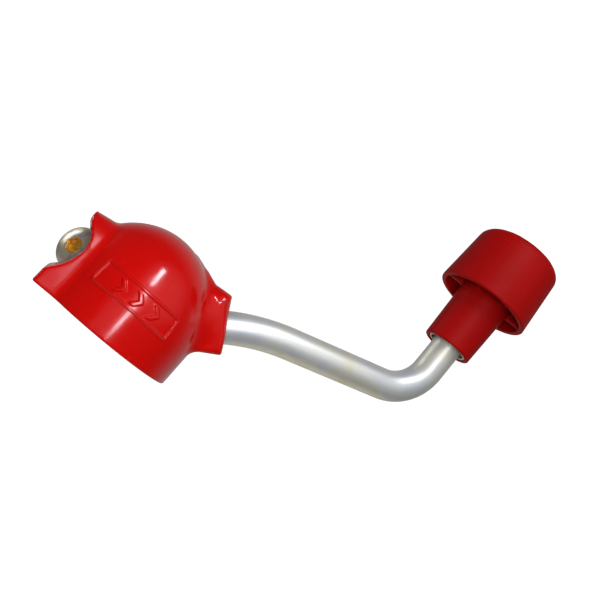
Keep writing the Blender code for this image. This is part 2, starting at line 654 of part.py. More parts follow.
def make_knob_body(parts, cutters, red):
    """Knob: stem around the sleeve, roofed cup around the stem, and ribs between the two."""
    shoulder = KNOB_TOP - CUP_EDGE_RADIUS
    top_radius = cup_outer(shoulder)
    roof = KNOB_TOP - CUP_ROOF
    bore = SLEEVE_RADIUS + GAP
    plug_base = KNOB_TOP - KNOB_PLUG_THICKNESS - GAP
    plug_bore = KNOB_PLUG_RADIUS + GAP
    stem_top = STEM_RADIUS + STEM_GROWTH
    edge = 0.7 * MM
    profile = [(plug_bore, KNOB_TOP)]
    profile += arc((top_radius - CUP_EDGE_RADIUS, shoulder), CUP_EDGE_RADIUS, 90, 0, 6)
    profile += [(CUP_RADIUS, CUP_BASE + edge), (CUP_RADIUS - edge, CUP_BASE),
                (CUP_RADIUS - CUP_WALL, CUP_BASE), (cup_outer(roof) - CUP_WALL, roof),
                (stem_top, roof), (stem_top, CUP_BASE), (STEM_RADIUS + edge / 2, KNOB_BASE + edge),
                (STEM_RADIUS - edge / 2, KNOB_BASE), (bore, KNOB_BASE)]
    if plug_bore > bore + 0.01 * MM:
        profile += [(bore, plug_base), (plug_bore, plug_base)]
    body = turned("knob_body", profile, parts, red, closed=True)
    body.location.x = THROW
    rib_inner = stem_top - 0.8 * MM
    rib_outer = cup_outer(roof) - CUP_WALL + 0.8 * MM
    for index in range(RIB_COUNT):
        rib = block("rib_%d" % (index + 1), (rib_inner, -RIB_THICKNESS / 2, CUP_BASE + RIB_RECESS),
                    (rib_outer, RIB_THICKNESS / 2, roof + MM), cutters)
        rib.location.x = THROW
        rib.rotation_euler.z = RIB_TURN + math.tau * index / RIB_COUNT
        hide_as_cutter(rib)
        shape_with(body, rib, "UNION")
    return body


def make_knob_inside(parts, materials):
    """Sleeve, bushes, rings and plug, all on the knob's axis."""
    sleeve = ring("knob_sleeve", SLEEVE_BORE, SLEEVE_RADIUS, KNOB_BASE + SLEEVE_RECESS,
                  KNOB_TOP - KNOB_PLUG_THICKNESS - 2 * GAP, parts, materials["zinc"])
    low = ring("knob_bush_lower", BUSH_BORE, BUSH_RADIUS, LOW_BUSH_BASE,
               LOW_BUSH_BASE + BUSH_LENGTH, parts, materials["nylon"])
    high = ring("knob_bush_upper", BUSH_BORE, BUSH_RADIUS, UP_BUSH_TOP - BUSH_LENGTH, UP_BUSH_TOP,
                parts, materials["nylon"])
    edge = 0.8 * MM
    plug = turned("knob_plug", [(0.0, KNOB_TOP), (KNOB_PLUG_RADIUS - edge, KNOB_TOP),
                                (KNOB_PLUG_RADIUS, KNOB_TOP - edge),
                                (KNOB_PLUG_RADIUS, KNOB_TOP - KNOB_PLUG_THICKNESS),
                                (0.0, KNOB_TOP - KNOB_PLUG_THICKNESS)],
                  parts, materials["knob_red"], steps=MID_STEPS)
    return [sleeve, low, high, plug]


def make_rod_rings(parts, materials):
    """Rings on the rod that keep the knob between them."""
    inner = ROD_RADIUS + GAP
    outer = SLEEVE_BORE - RUN
    stop = ring("knob_stop_ring", inner, outer, LOW_BUSH_BASE - GAP - RING_THICKNESS,
                LOW_BUSH_BASE - GAP, parts, materials["steel"])
    washer = ring("knob_washer", inner, outer, UP_BUSH_TOP + GAP, UP_BUSH_TOP + GAP + RING_THICKNESS,
                  parts, materials["nylon"])
    keeper = ring("knob_push_ring", inner, outer, RING_BASE, RING_BASE + RING_THICKNESS,
                  parts, materials["steel"])
    return [stop, washer, keeper]


# ---------------------------------------------------------------- assembly

def main():
    """Build every piece and hang the moving ones on their axes."""
    clear_scene()
    parts = new_collection("crank_handle_head")
    cutters = new_collection("cutters")
    materials = {
        "cap_red": new_material("cap_red", (0.62, 0.012, 0.012), 0.25),
        "knob_red": new_material("knob_red", (0.42, 0.012, 0.014), 0.45),
        "zinc": new_material("zinc", (0.62, 0.63, 0.60), 0.35, 1.0),
        "steel": new_material("steel", (0.35, 0.35, 0.36), 0.35, 1.0),
        "dark_steel": new_material("dark_steel", (0.16, 0.15, 0.14), 0.3, 1.0),
        "brass": new_material("brass", (0.60, 0.42, 0.16), 0.35, 1.0),
        "nylon": new_material("nylon", (0.78, 0.78, 0.74), 0.5),
    }
    axes = {}
    for name, x in (("crank_axis", 0.0), ("cage_axis", 0.0), ("knob_axis", THROW)):
        axes[name] = bpy.data.objects.new(name, None)
        axes[name].location.x = x
        parts.objects.link(axes[name])

    make_seat(parts, materials["zinc"])
    make_race("race_lower", LOW_RACE_BASE, True, parts, materials["steel"])
    cage_pieces = [make_cage(parts, cutters, materials["brass"])] + make_balls(parts, materials["steel"])
    crank_pieces = [
        make_race("race_upper", UP_RACE_BASE, False, parts, materials["steel"]),
        make_hub(parts, cutters, materials["zinc"]),
        make_rod_pin(parts, cutters, materials["steel"]),
        make_neck_washer(parts, materials["steel"]),
        make_neck_clip(parts, cutters, materials["dark_steel"]),
        make_rod(parts, cutters, materials["zinc"]),
        make_cap(parts, cutters, materials["cap_red"]),
        make_screw(parts, cutters, materials["dark_steel"]),
        make_screw_washer(parts, materials["steel"]),
    ] + make_rod_rings(parts, materials)
    knob_pieces = [make_knob_body(parts, cutters, materials["knob_red"])]
    for piece in make_knob_inside(parts, materials):
        piece.location.x = THROW
        knob_pieces.append(piece)
    for piece in crank_pieces:
        if piece.name.startswith("knob_"):
            piece.location.x = THROW
    bpy.context.view_layer.update()
    for pieces, axis in ((cage_pieces, "cage_axis"), (crank_pieces, "crank_axis"),
                         (knob_pieces, "knob_axis")):
        for piece in pieces:
            parent_to(piece, axes[axis])
    parent_to(axes["knob_axis"], axes["crank_axis"])


main()
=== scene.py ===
"""Looks of the crank handle head: glossy cap, plated rod, cap screw and spinning knob.

Sizes are in millimetres in the classes and become metres when a mesh is made. The frame is
the part's own: +Z is the turning axis, +X the crank arm, origin at the cap's rim plane.
"""

import json
import logging
import math
from dataclasses import dataclass, field
from enum import Enum
from typing import Any, Callable, Optional, Sequence

import bmesh
import bpy
import numpy as np
from mathutils import Matrix, Vector

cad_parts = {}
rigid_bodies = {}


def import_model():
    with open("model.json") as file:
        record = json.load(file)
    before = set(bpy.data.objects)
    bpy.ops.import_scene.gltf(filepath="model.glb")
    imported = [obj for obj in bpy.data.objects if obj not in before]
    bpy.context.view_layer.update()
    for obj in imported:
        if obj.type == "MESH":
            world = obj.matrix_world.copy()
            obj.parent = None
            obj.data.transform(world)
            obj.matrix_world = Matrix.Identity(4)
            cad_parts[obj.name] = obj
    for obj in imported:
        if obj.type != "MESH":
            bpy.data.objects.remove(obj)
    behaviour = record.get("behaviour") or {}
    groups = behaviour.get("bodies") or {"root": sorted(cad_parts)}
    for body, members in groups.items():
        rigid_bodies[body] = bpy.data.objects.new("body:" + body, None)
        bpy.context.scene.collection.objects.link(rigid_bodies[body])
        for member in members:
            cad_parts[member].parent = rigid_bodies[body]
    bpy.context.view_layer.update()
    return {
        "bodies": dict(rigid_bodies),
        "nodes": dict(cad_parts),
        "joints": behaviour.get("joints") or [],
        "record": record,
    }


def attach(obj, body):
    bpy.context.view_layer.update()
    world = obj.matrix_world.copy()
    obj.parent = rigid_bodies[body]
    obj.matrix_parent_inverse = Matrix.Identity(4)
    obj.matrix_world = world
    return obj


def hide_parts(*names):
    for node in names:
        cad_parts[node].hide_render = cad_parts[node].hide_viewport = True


LOG = logging.getLogger("crank_handle_head")
MM = 0.001
Field = Callable[[np.ndarray], np.ndarray]
Profile = Sequence[tuple[float, float]]


# ------------------------------------------------------------------ colour and node helpers

def hex_to_linear(text: str) -> tuple[float, float, float, float]:
    """Turn an sRGB hex colour into linear values.

    Args:
        text: six hex digits, such as "C81410".

    Returns:
        Linear red, green, blue and an alpha of 1.
    """
    values = []
    for start in (0, 2, 4):
        share = int(text[start:start + 2], 16) / 255.0
        values.append(share / 12.92 if share <= 0.04045 else ((share + 0.055) / 1.055) ** 2.4)
    return (values[0], values[1], values[2], 1.0)


def add_node(tree: bpy.types.NodeTree, kind: str, settings: Optional[dict[str, Any]] = None,
             inputs: Optional[dict[Any, Any]] = None) -> bpy.types.Node:
    """Add a node, set its properties, and fill or link its inputs.

    Args:
        tree: node tree that takes the node.
        kind: the node's type name.
        settings: properties by name.
        inputs: values or output sockets by input name or number.

    Returns:
        The new node.
    """
    node = tree.nodes.new(kind)
    for name, value in (settings or {}).items():
        setattr(node, name, value)
    for key, value in (inputs or {}).items():
        socket = node.inputs[key]
        if isinstance(value, bpy.types.NodeSocket):
            tree.links.new(value, socket)
        else:
            socket.default_value = value
    return node


# ------------------------------------------------------------------ finishes

class SurfaceMark(Enum):
    """Which way the fine lines run that the making of a metal piece leaves on it."""

    DRAWN = "drawn bar"
    TURNED = "turned"
    PLAIN = "plain"


@dataclass(frozen=True)
class MouldedPlastic:
    """Injection-moulded plastic; the eye sees a body colour under a clear, slightly wavy gloss."""

    name: str
    body_hex: str
    shade_hex: str
    roughness: float
    roughness_spread: float
    grain_mm: float
    grain_depth: float
    wave_mm: float = 9.0
    wave_depth: float = 0.0
    coat: float = 0.0
    ior: float = 1.5
    scuff: float = 0.0
    scuff_hex: str = "D8A79F"
    sink: float = 0.05
    shine: float = 0.5

    def build(self) -> bpy.types.Material:
        """Return the material."""
        material = bpy.data.materials.new(self.name)
        material.use_nodes = True
        tree = material.node_tree
        shader = tree.nodes["Principled BSDF"]
        where = add_node(tree, "ShaderNodeTexCoord").outputs["Object"]
        cloud = add_node(tree, "ShaderNodeTexNoise", None,
                         {"Vector": where, "Scale": 1.0 / (22.0 * MM), "Detail": 3.0})
        tint = add_node(tree, "ShaderNodeMix", {"data_type": "RGBA"},
                        {0: cloud.outputs["Fac"], 6: hex_to_linear(self.body_hex),
                         7: hex_to_linear(self.shade_hex)})
        colour = tint.outputs[2]
        grain = add_node(tree, "ShaderNodeTexNoise", None,
                         {"Vector": where, "Scale": 1.0 / (self.grain_mm * MM), "Detail": 2.0})
        patch = add_node(tree, "ShaderNodeTexNoise", None,
                         {"Vector": where, "Scale": 1.0 / (14.0 * MM), "Detail": 5.0,
                          "Roughness": 0.62})
        spread = add_node(tree, "ShaderNodeMapRange", None,
                          {"Value": patch.outputs["Fac"], "From Min": 0.3, "From Max": 0.7,
                           "To Min": self.roughness - self.roughness_spread,
                           "To Max": self.roughness + self.roughness_spread})
        rough = spread.outputs["Result"]
        if self.scuff > 0.0:
            streaks = add_node(tree, "ShaderNodeMapping", None,
                               {"Vector": where, "Rotation": (0.5, 0.2, 0.9),
                                "Scale": (1.0, 0.08, 0.35)})
            lines = add_node(tree, "ShaderNodeTexNoise", None,
                             {"Vector": streaks.outputs["Vector"], "Scale": 1.0 / (0.9 * MM),
                              "Detail": 4.0, "Roughness": 0.7})
            thin = add_node(tree, "ShaderNodeMapRange", None,
                            {"Value": lines.outputs["Fac"], "From Min": 0.66, "From Max": 0.74,
                             "To Min": 0.0, "To Max": self.scuff})
            worn = add_node(tree, "ShaderNodeMix", {"data_type": "RGBA"},
                            {0: thin.outputs["Result"], 6: colour,
                             7: hex_to_linear(self.scuff_hex)})
            colour = worn.outputs[2]
            more = add_node(tree, "ShaderNodeMath", {"operation": "ADD"},
                            {0: rough, 1: thin.outputs["Result"]})
            rough = more.outputs[0]
        tree.links.new(colour, shader.inputs["Base Color"])
        tree.links.new(rough, shader.inputs["Roughness"])
        shader.inputs["IOR"].default_value = self.ior
        shader.inputs["Specular IOR Level"].default_value = self.shine
        shader.inputs["Subsurface Weight"].default_value = self.sink
        shader.inputs["Subsurface Radius"].default_value = (1.0, 0.12, 0.08)
        shader.inputs["Subsurface Scale"].default_value = 0.6 * MM
        shader.inputs["Coat Weight"].default_value = self.coat
        shader.inputs["Coat Roughness"].default_value = 0.08
        bump = add_node(tree, "ShaderNodeBump", None,
                        {"Height": grain.outputs["Fac"], "Strength": self.grain_depth,
                         "Distance": 0.05 * MM})
        normal = bump.outputs["Normal"]
        if self.wave_depth > 0.0:
            wave = add_node(tree, "ShaderNodeTexNoise", None,
                            {"Vector": where, "Scale": 1.0 / (self.wave_mm * MM), "Detail": 1.0})
            swell = add_node(tree, "ShaderNodeBump", None,
                             {"Height": wave.outputs["Fac"], "Strength": self.wave_depth,
                              "Distance": 0.4 * MM, "Normal": normal})
            normal = swell.outputs["Normal"]
        tree.links.new(normal, shader.inputs["Normal"])
        return material


@dataclass(frozen=True)
class PlatedMetal:
    """Metal with a thin plating; the eye sees a satin shine with soft blotches and fine lines."""

    name: str
    base_hex: str
    cool_hex: str
    warm_hex: str
    roughness: float
    roughness_spread: float
    mark: SurfaceMark
    line_mm: float = 0.25
    line_depth: float = 0.25
    blotch_mm: float = 16.0
    blotch: float = 0.6
    pits: float = 0.0
    pit_hex: str = "4A4A48"
    metallic: float = 1.0

    def build(self) -> bpy.types.Material:
        """Return the material."""
        material = bpy.data.materials.new(self.name)
        material.use_nodes = True
        tree = material.node_tree
        shader = tree.nodes["Principled BSDF"]
        shader.inputs["Metallic"].default_value = self.metallic
        where = add_node(tree, "ShaderNodeTexCoord").outputs["Object"]
        cloud = add_node(tree, "ShaderNodeTexNoise", None,
                         {"Vector": where, "Scale": 1.0 / (self.blotch_mm * MM), "Detail": 4.0,
                          "Distortion": 0.6})
        halves = add_node(tree, "ShaderNodeValToRGB", None, {"Fac": cloud.outputs["Fac"]})
        stops = halves.color_ramp.elements
        stops[0].position, stops[1].position = 0.36, 0.66
        stops[0].color = hex_to_linear(self.cool_hex)
        stops[1].color = hex_to_linear(self.warm_hex)
        stops.new(0.51).color = hex_to_linear(self.base_hex)
        tint = add_node(tree, "ShaderNodeMix", {"data_type": "RGBA"},
                        {0: self.blotch, 6: hex_to_linear(self.base_hex),
                         7: halves.outputs["Color"]})
        colour = tint.outputs[2]
        lines = add_node(tree, "ShaderNodeTexNoise", None,
                         {"Vector": self._line_space(tree, where),
                          "Scale": 1.0 / (self.line_mm * MM), "Detail": 3.0, "Roughness": 0.65})
        spread = add_node(tree, "ShaderNodeMapRange", None,
                          {"Value": cloud.outputs["Fac"], "From Min": 0.3, "From Max": 0.7,
                           "To Min": self.roughness - self.roughness_spread,
                           "To Max": self.roughness + self.roughness_spread})
        rough = spread.outputs["Result"]
        if self.pits > 0.0:
            cells = add_node(tree, "ShaderNodeTexNoise", None,
                             {"Vector": where, "Scale": 1.0 / (1.1 * MM), "Detail": 6.0,
                              "Roughness": 0.75})
            spots = add_node(tree, "ShaderNodeMapRange", None,
                             {"Value": cells.outputs["Fac"], "From Min": 0.66, "From Max": 0.72,
                              "To Min": 0.0, "To Max": self.pits})
            spotted = add_node(tree, "ShaderNodeMix", {"data_type": "RGBA"},
                               {0: spots.outputs["Result"], 6: colour,
                                7: hex_to_linear(self.pit_hex)})
            colour = spotted.outputs[2]
            more = add_node(tree, "ShaderNodeMath", {"operation": "ADD"},
                            {0: rough, 1: spots.outputs["Result"]})
            rough = more.outputs[0]
        tree.links.new(colour, shader.inputs["Base Color"])
        tree.links.new(rough, shader.inputs["Roughness"])
        bump = add_node(tree, "ShaderNodeBump", None,
                        {"Height": lines.outputs["Fac"], "Strength": self.line_depth,
                         "Distance": 0.03 * MM})
        tree.links.new(bump.outputs["Normal"], shader.inputs["Normal"])
        return material

    def _line_space(self, tree: bpy.types.NodeTree,
                    where: bpy.types.NodeSocket) -> bpy.types.NodeSocket:
        """Return the space in which the fine lines run.

        Args:
            tree: the material's node tree.
            where: object coordinates.

        Returns:
            Coordinates drawn out along the bar or the turning axis.
        """
        scale = {SurfaceMark.DRAWN: (0.05, 1.0, 0.4), SurfaceMark.TURNED: (0.08, 0.08, 1.0)}
        stretch = add_node(tree, "ShaderNodeMapping", None,
                           {"Vector": where, "Scale": scale.get(self.mark, (1.0, 1.0, 1.0))})
        return stretch.outputs["Vector"]


# Polypropylene from a polished tool: bright red, sharp highlights that waver a little.
CAP_RED = MouldedPlastic("gloss_red_polypropylene", "D20A05", "BE0805", 0.17, 0.05, 0.9, 0.10,
                         wave_mm=11.0, wave_depth=0.10, coat=0.25, scuff=0.10, sink=0.06,
                         shine=0.38)
# Polyamide from a spark-eroded tool: deeper red, satin, with a fine even grain.
KNOB_RED = MouldedPlastic("satin_red_polyamide", "A60806", "930605", 0.55, 0.06, 0.45, 0.55,
                          scuff=0.10, scuff_hex="B4514E", shine=0.1)
# Bright zinc on drawn bar: soft grey shine, cool and straw patches, pits along the bar.
ROD_ZINC = PlatedMetal("zinc_plated_drawn_bar", "E6E9E1", "DAE1E5", "E0DEC2", 0.44, 0.05,
                       SurfaceMark.DRAWN, 0.35, 0.5, 15.0, 0.75, pits=0.5, metallic=0.6)
# The same plating on pressed and turned pieces, duller and with rings round the axis.
SEAT_ZINC = PlatedMetal("zinc_plated_pressing", "BFC1BE", "B0B8C0", "C9C3A0", 0.36, 0.06,
                        SurfaceMark.TURNED, 0.3, 0.4, 12.0, 0.7, pits=0.2)
# Plated button head: smooth, grey with a yellowish cast.
SCREW_DARK = PlatedMetal("dark_plated_screw", "D8D5C0", "B6B4B2", "DCD4A8", 0.34, 0.07,
                         SurfaceMark.PLAIN, 0.5, 0.25, 5.0, 0.9, metallic=0.7)
# Passivation left thick in the socket: golden.
SOCKET_YELLOW = PlatedMetal("yellow_passivated_socket", "E8B040", "C07C18", "F0CC62", 0.24, 0.06,
                            SurfaceMark.PLAIN, 0.4, 0.3, 2.0, 0.9, metallic=0.6)
# Bare hardened steel, ground: the brightest metal here.
RACE_STEEL = PlatedMetal("ground_bearing_steel", "B4B4B6", "A8ACB2", "B8B4A8", 0.22, 0.04,
                         SurfaceMark.TURNED, 0.2, 0.3, 9.0, 0.4)
# Oiled black spring steel: nearly no colour, low shine.
SPRING_DARK = PlatedMetal("blackened_spring_steel", "4C4A48", "42444A", "56524A", 0.34, 0.05,
                          SurfaceMark.PLAIN, 0.3, 0.3, 6.0, 0.6)
# Rolled brass sheet, pressed: warm yellow, smooth.
CAGE_BRASS = PlatedMetal("pressed_brass", "C9A45A", "B89250", "D6B56C", 0.30, 0.05,
                         SurfaceMark.PLAIN, 0.3, 0.3, 7.0, 0.7)
# Undyed nylon: off-white, light goes a little way in.
BUSH_NYLON = MouldedPlastic("natural_nylon", "DEDCD2", "D2CFC2", 0.45, 0.05, 0.5, 0.3, sink=0.2)


# ------------------------------------------------------------------ distance fields

def polygon_distance(across: np.ndarray, up: np.ndarray, corners: Profile) -> np.ndarray:
    """Signed distance to a closed outline, negative inside.

    Args:
        across: first coordinates of the points.
        up: second coordinates of the points.
        corners: the outline's corners in order.

    Returns:
        One distance for each point.
    """
    nearest = np.full(across.shape, np.inf)
    inside = np.zeros(across.shape, bool)
    count = len(corners)
    for index in range(count):
        ax, ay = corners[index]
        bx, by = corners[(index + 1) % count]
        ex, ey = bx - ax, by - ay
        px, py = across - ax, up - ay
        share = np.clip((px * ex + py * ey) / (ex * ex + ey * ey), 0.0, 1.0)
        nearest = np.minimum(nearest, (px - ex * share) ** 2 + (py - ey * share) ** 2)
        crosses = (ay > up) != (by > up)
        if ey != 0.0:
            inside ^= crosses & (px < ex * py / ey)
    distance = np.sqrt(nearest)
    return np.where(inside, -distance, distance)


def join(first: np.ndarray, second: np.ndarray, radius: float) -> np.ndarray:
    """Union of two fields with a hollow fillet of the given radius."""
    a = np.maximum(radius - first, 0.0)
    b = np.maximum(radius - second, 0.0)
    return np.maximum(radius, np.minimum(first, second)) - np.sqrt(a * a + b * b)


def overlap(first: np.ndarray, second: np.ndarray, radius: float) -> np.ndarray:
    """Common part of two fields with its new edge rounded by the given radius."""
    a = np.maximum(radius + first, 0.0)
    b = np.maximum(radius + second, 0.0)
    return np.minimum(-radius, np.maximum(first, second)) + np.sqrt(a * a + b * b)


def ramp(along: np.ndarray, start: float, length: float) -> np.ndarray:
    """Smooth rise from 0 at the start to 1 a length further on."""
    share = np.clip((along - start) / length, 0.0, 1.0)
    return share * share * (3.0 - 2.0 * share)


def cut(body: np.ndarray, tool: np.ndarray, radius: float) -> np.ndarray:
    """Field of a body less a tool, with its new edge rounded by the given radius."""
    return overlap(body, -tool, radius)


@dataclass
class FieldMesher:
    """Makes an even mesh of quads on the zero level of a field, in millimetres."""

    cell: float
    low: tuple[float, float, float]
    high: tuple[float, float, float]

    def build(self, name: str, shape: Field) -> bpy.types.Mesh:
        """Mesh a field.

        Args:
            name: name of the mesh.
            shape: signed distance of points in millimetres, negative inside.

        Returns:
            A closed mesh in metres, shaded smooth.
        """
        axes = [np.arange(self.low[i], self.high[i] + self.cell, self.cell) for i in range(3)]
        counts = [len(axis) for axis in axes]
        values = np.empty(counts, np.float32)
        plane = np.stack(np.meshgrid(axes[1], axes[2], indexing="ij"), -1).reshape(-1, 2)
        step = 8
        for start in range(0, counts[0], step):
            rows = axes[0][start:start + step]
            points = np.empty((len(rows) * len(plane), 3))
            points[:, 0] = np.repeat(rows, len(plane))
            points[:, 1:] = np.tile(plane, (len(rows), 1))
            values[start:start + step] = shape(points).reshape(len(rows), counts[1], counts[2])
        places, numbers = self._cell_points(values, axes)
        faces = self._faces(values, numbers)
        places = self._settle(places, shape)
        mesh = bpy.data.meshes.new(name)
        mesh.vertices.add(len(places))
        mesh.vertices.foreach_set("co", (places * MM).astype(np.float32).ravel())
        mesh.loops.add(len(faces) * 4)
        mesh.loops.foreach_set("vertex_index", faces.ravel().astype(np.int32))
        mesh.polygons.add(len(faces))
        mesh.polygons.foreach_set("loop_start", np.arange(0, len(faces) * 4, 4, dtype=np.int32))
        mesh.update(calc_edges=True)
        mesh.validate()
        mesh.shade_smooth()
        return mesh

    def _cell_points(self, values: np.ndarray,
                     axes: list[np.ndarray]) -> tuple[np.ndarray, np.ndarray]:
        """Put one point in each cell that the surface crosses.

        Args:
            values: field values at the grid's corners.
            axes: the grid's coordinates along X, Y and Z.

        Returns:
            The points, and the number of the point in each cell, or -1.
        """
        inside = values < 0.0
        shape = tuple(count - 1 for count in values.shape)
        corner = [(i, j, k) for i in (0, 1) for j in (0, 1) for k in (0, 1)]

        def at(grid: np.ndarray, offset: tuple[int, int, int]) -> np.ndarray:
            """Return the grid's values at one corner of every cell."""
            return grid[offset[0]:offset[0] + shape[0], offset[1]:offset[1] + shape[1],
                        offset[2]:offset[2] + shape[2]]

        filled = sum(at(inside, c).astype(np.int8) for c in corner)
        live = np.nonzero((filled > 0) & (filled < 8))
        numbers = np.full(shape, -1, np.int64)
        numbers[live] = np.arange(len(live[0]))
        total = np.zeros((len(live[0]), 3))
        hits = np.zeros(len(live[0]))
        for first in corner:
            for axis in range(3):
                if first[axis] == 1:
                    continue
                second = tuple(1 if i == axis else first[i] for i in range(3))
                a = at(values, first)[live]
                b = at(values, second)[live]
                crossing = (a < 0.0) != (b < 0.0)
                share = np.where(crossing, a / np.where(crossing, a - b, 1.0), 0.0)
                point = np.empty((len(a), 3))
                for i in range(3):
                    point[:, i] = first[i]
                point[:, axis] = share
                total += point * crossing[:, None]
                hits += crossing
        local = total / hits[:, None]
        base = np.stack([axes[i][live[i]] for i in range(3)], -1)
        return base + local * self.cell, numbers

    def _faces(self, values: np.ndarray, numbers: np.ndarray) -> np.ndarray:
        """Join the points of the four cells around each crossed grid edge.

        Args:
            values: field values at the grid's corners.
            numbers: number of the point in each cell.

        Returns:
            Four point numbers for each face, wound so that faces point outwards.
        """
        inside = values < 0.0
        faces = []
        for axis in range(3):
            one, two = (axis + 1) % 3, (axis + 2) % 3
            near = np.moveaxis(inside, (axis, one, two), (0, 1, 2))
            cells = np.moveaxis(numbers, (axis, one, two), (0, 1, 2))
            start, end = near[:-1, 1:-1, 1:-1], near[1:, 1:-1, 1:-1]
            for out in (False, True):
                i, j, k = np.nonzero((start != end) & (start == (not out)))
                quad = [cells[i, j, k], cells[i, j + 1, k], cells[i, j + 1, k + 1],
                        cells[i, j, k + 1]]
                if out:
                    quad.reverse()
                faces.append(np.stack(quad, -1))
        return np.concatenate(faces)

    def _settle(self, places: np.ndarray, shape: Field) -> np.ndarray:
        """Move the points onto the surface along the field's slope.

        Args:
            places: points near the surface.
            shape: the field.

        Returns:
            Points on the surface.
        """
        reach = 0.35 * self.cell
        eps = 0.04
        for _ in range(4):
            slope = np.empty_like(places)
            for axis in range(3):
                shift = np.zeros(3)
                shift[axis] = eps
                slope[:, axis] = (shape(places + shift) - shape(places - shift)) / (2 * eps)
            size = np.maximum((slope ** 2).sum(1), 0.05)
            move = -(shape(places) / size)[:, None] * slope
            length = np.maximum(np.linalg.norm(move, axis=1), 1e-9)
            move *= np.minimum(1.0, reach / length)[:, None]
            places = places + move
        return places


# ------------------------------------------------------------------ mesh helpers

def place_mesh(name: str, mesh: bpy.types.Mesh, finish: bpy.types.Material) -> bpy.types.Object:
    """Link a mesh as an object at the origin with its finish."""
    mesh.materials.clear()
    mesh.materials.append(finish)
    item = bpy.data.objects.new(name, mesh)
    bpy.context.scene.collection.objects.link(item)
    return item


def turned_mesh(name: str, profile: Profile, centre_x: float = 0.0, steps: int = 128,
                matrix: Optional[Matrix] = None) -> bpy.types.Mesh:
    """Turn a closed or axis-ended profile about an upright axis.

    Args:
        name: name of the mesh.
        profile: (radius, height) points in millimetres; an open end lies on the axis.
        centre_x: place of the axis along X, in millimetres.
        steps: number of flats round the piece.
        matrix: extra placing, in metres.

    Returns:
        A closed mesh with sharp edges where the profile turns by more than 35 degrees.
    """
    mesh = bpy.data.meshes.new(name)
    build = bmesh.new()
    verts = [build.verts.new((r * MM, 0.0, z * MM)) for r, z in profile]
    edges = [build.edges.new((verts[i], verts[i + 1])) for i in range(len(verts) - 1)]
    if profile[0][0] > 0.001:
        edges.append(build.edges.new((verts[-1], verts[0])))
    bmesh.ops.spin(build, geom=verts + edges, angle=math.tau, steps=steps, axis=(0, 0, 1),
                   cent=(0, 0, 0), use_merge=True, use_duplicate=False)
    bmesh.ops.remove_doubles(build, verts=build.verts, dist=0.002 * MM)
    bmesh.ops.recalc_face_normals(build, faces=build.faces)
    bmesh.ops.translate(build, verts=build.verts, vec=(centre_x * MM, 0, 0))
    if matrix is not None:
        build.transform(matrix)
    build.to_mesh(mesh)
    build.free()
    mesh.shade_smooth()
    mesh.set_sharp_from_angle(angle=math.radians(35))
    return mesh


def rounded(profile: Profile, radius: float, closed: bool = True,
            steps: int = 4) -> list[tuple[float, float]]:
    """Round every corner of a profile, except on the axis.

    Args:
        profile: (radius, height) points in millimetres.
        radius: rounding of each corner, cut down where the sides are short.
        closed: whether the last point joins the first.
        steps: points on each arc.

    Returns:
        The profile with arcs in place of its corners.
    """
    points: list[tuple[float, float]] = []
    count = len(profile)
    for index, (x, z) in enumerate(profile):
        ends = not closed and index in (0, count - 1)
        if ends or x < 0.001:
            points.append((x, z))
            continue
        here = Vector((x, z))
        back = Vector(profile[index - 1]) - here
        ahead = Vector(profile[(index + 1) % count]) - here
        reach = min(radius, back.length * 0.45, ahead.length * 0.45)
        start = here + back.normalized() * reach
        end = here + ahead.normalized() * reach
        for step in range(steps + 1):
            share = step / steps
            spot = start * (1 - share) ** 2 + here * 2 * share * (1 - share) + end * share ** 2
            points.append((spot.x, spot.y))
    return points


def bake_geometry_nodes(carrier: bpy.types.Object, name: str) -> bpy.types.Mesh:
    """Return an object's mesh with its Geometry Nodes applied, and remove the object."""
    bpy.context.view_layer.update()
    graph = bpy.context.evaluated_depsgraph_get()
    mesh = bpy.data.meshes.new_from_object(carrier.evaluated_get(graph))
    mesh.name = name
    bpy.data.objects.remove(carrier, do_unlink=True)
    return mesh


def set_input(modifier: bpy.types.Modifier, name: str, value: Any) -> None:
    """Set a Geometry Nodes modifier's input by its socket's identifier."""
    for item in modifier.node_group.interface.items_tree:
        if item.item_type == "SOCKET" and item.in_out == "INPUT" and item.name == name:
            modifier[item.identifier] = value
            return
    raise KeyError(name)


# ------------------------------------------------------------------ cap

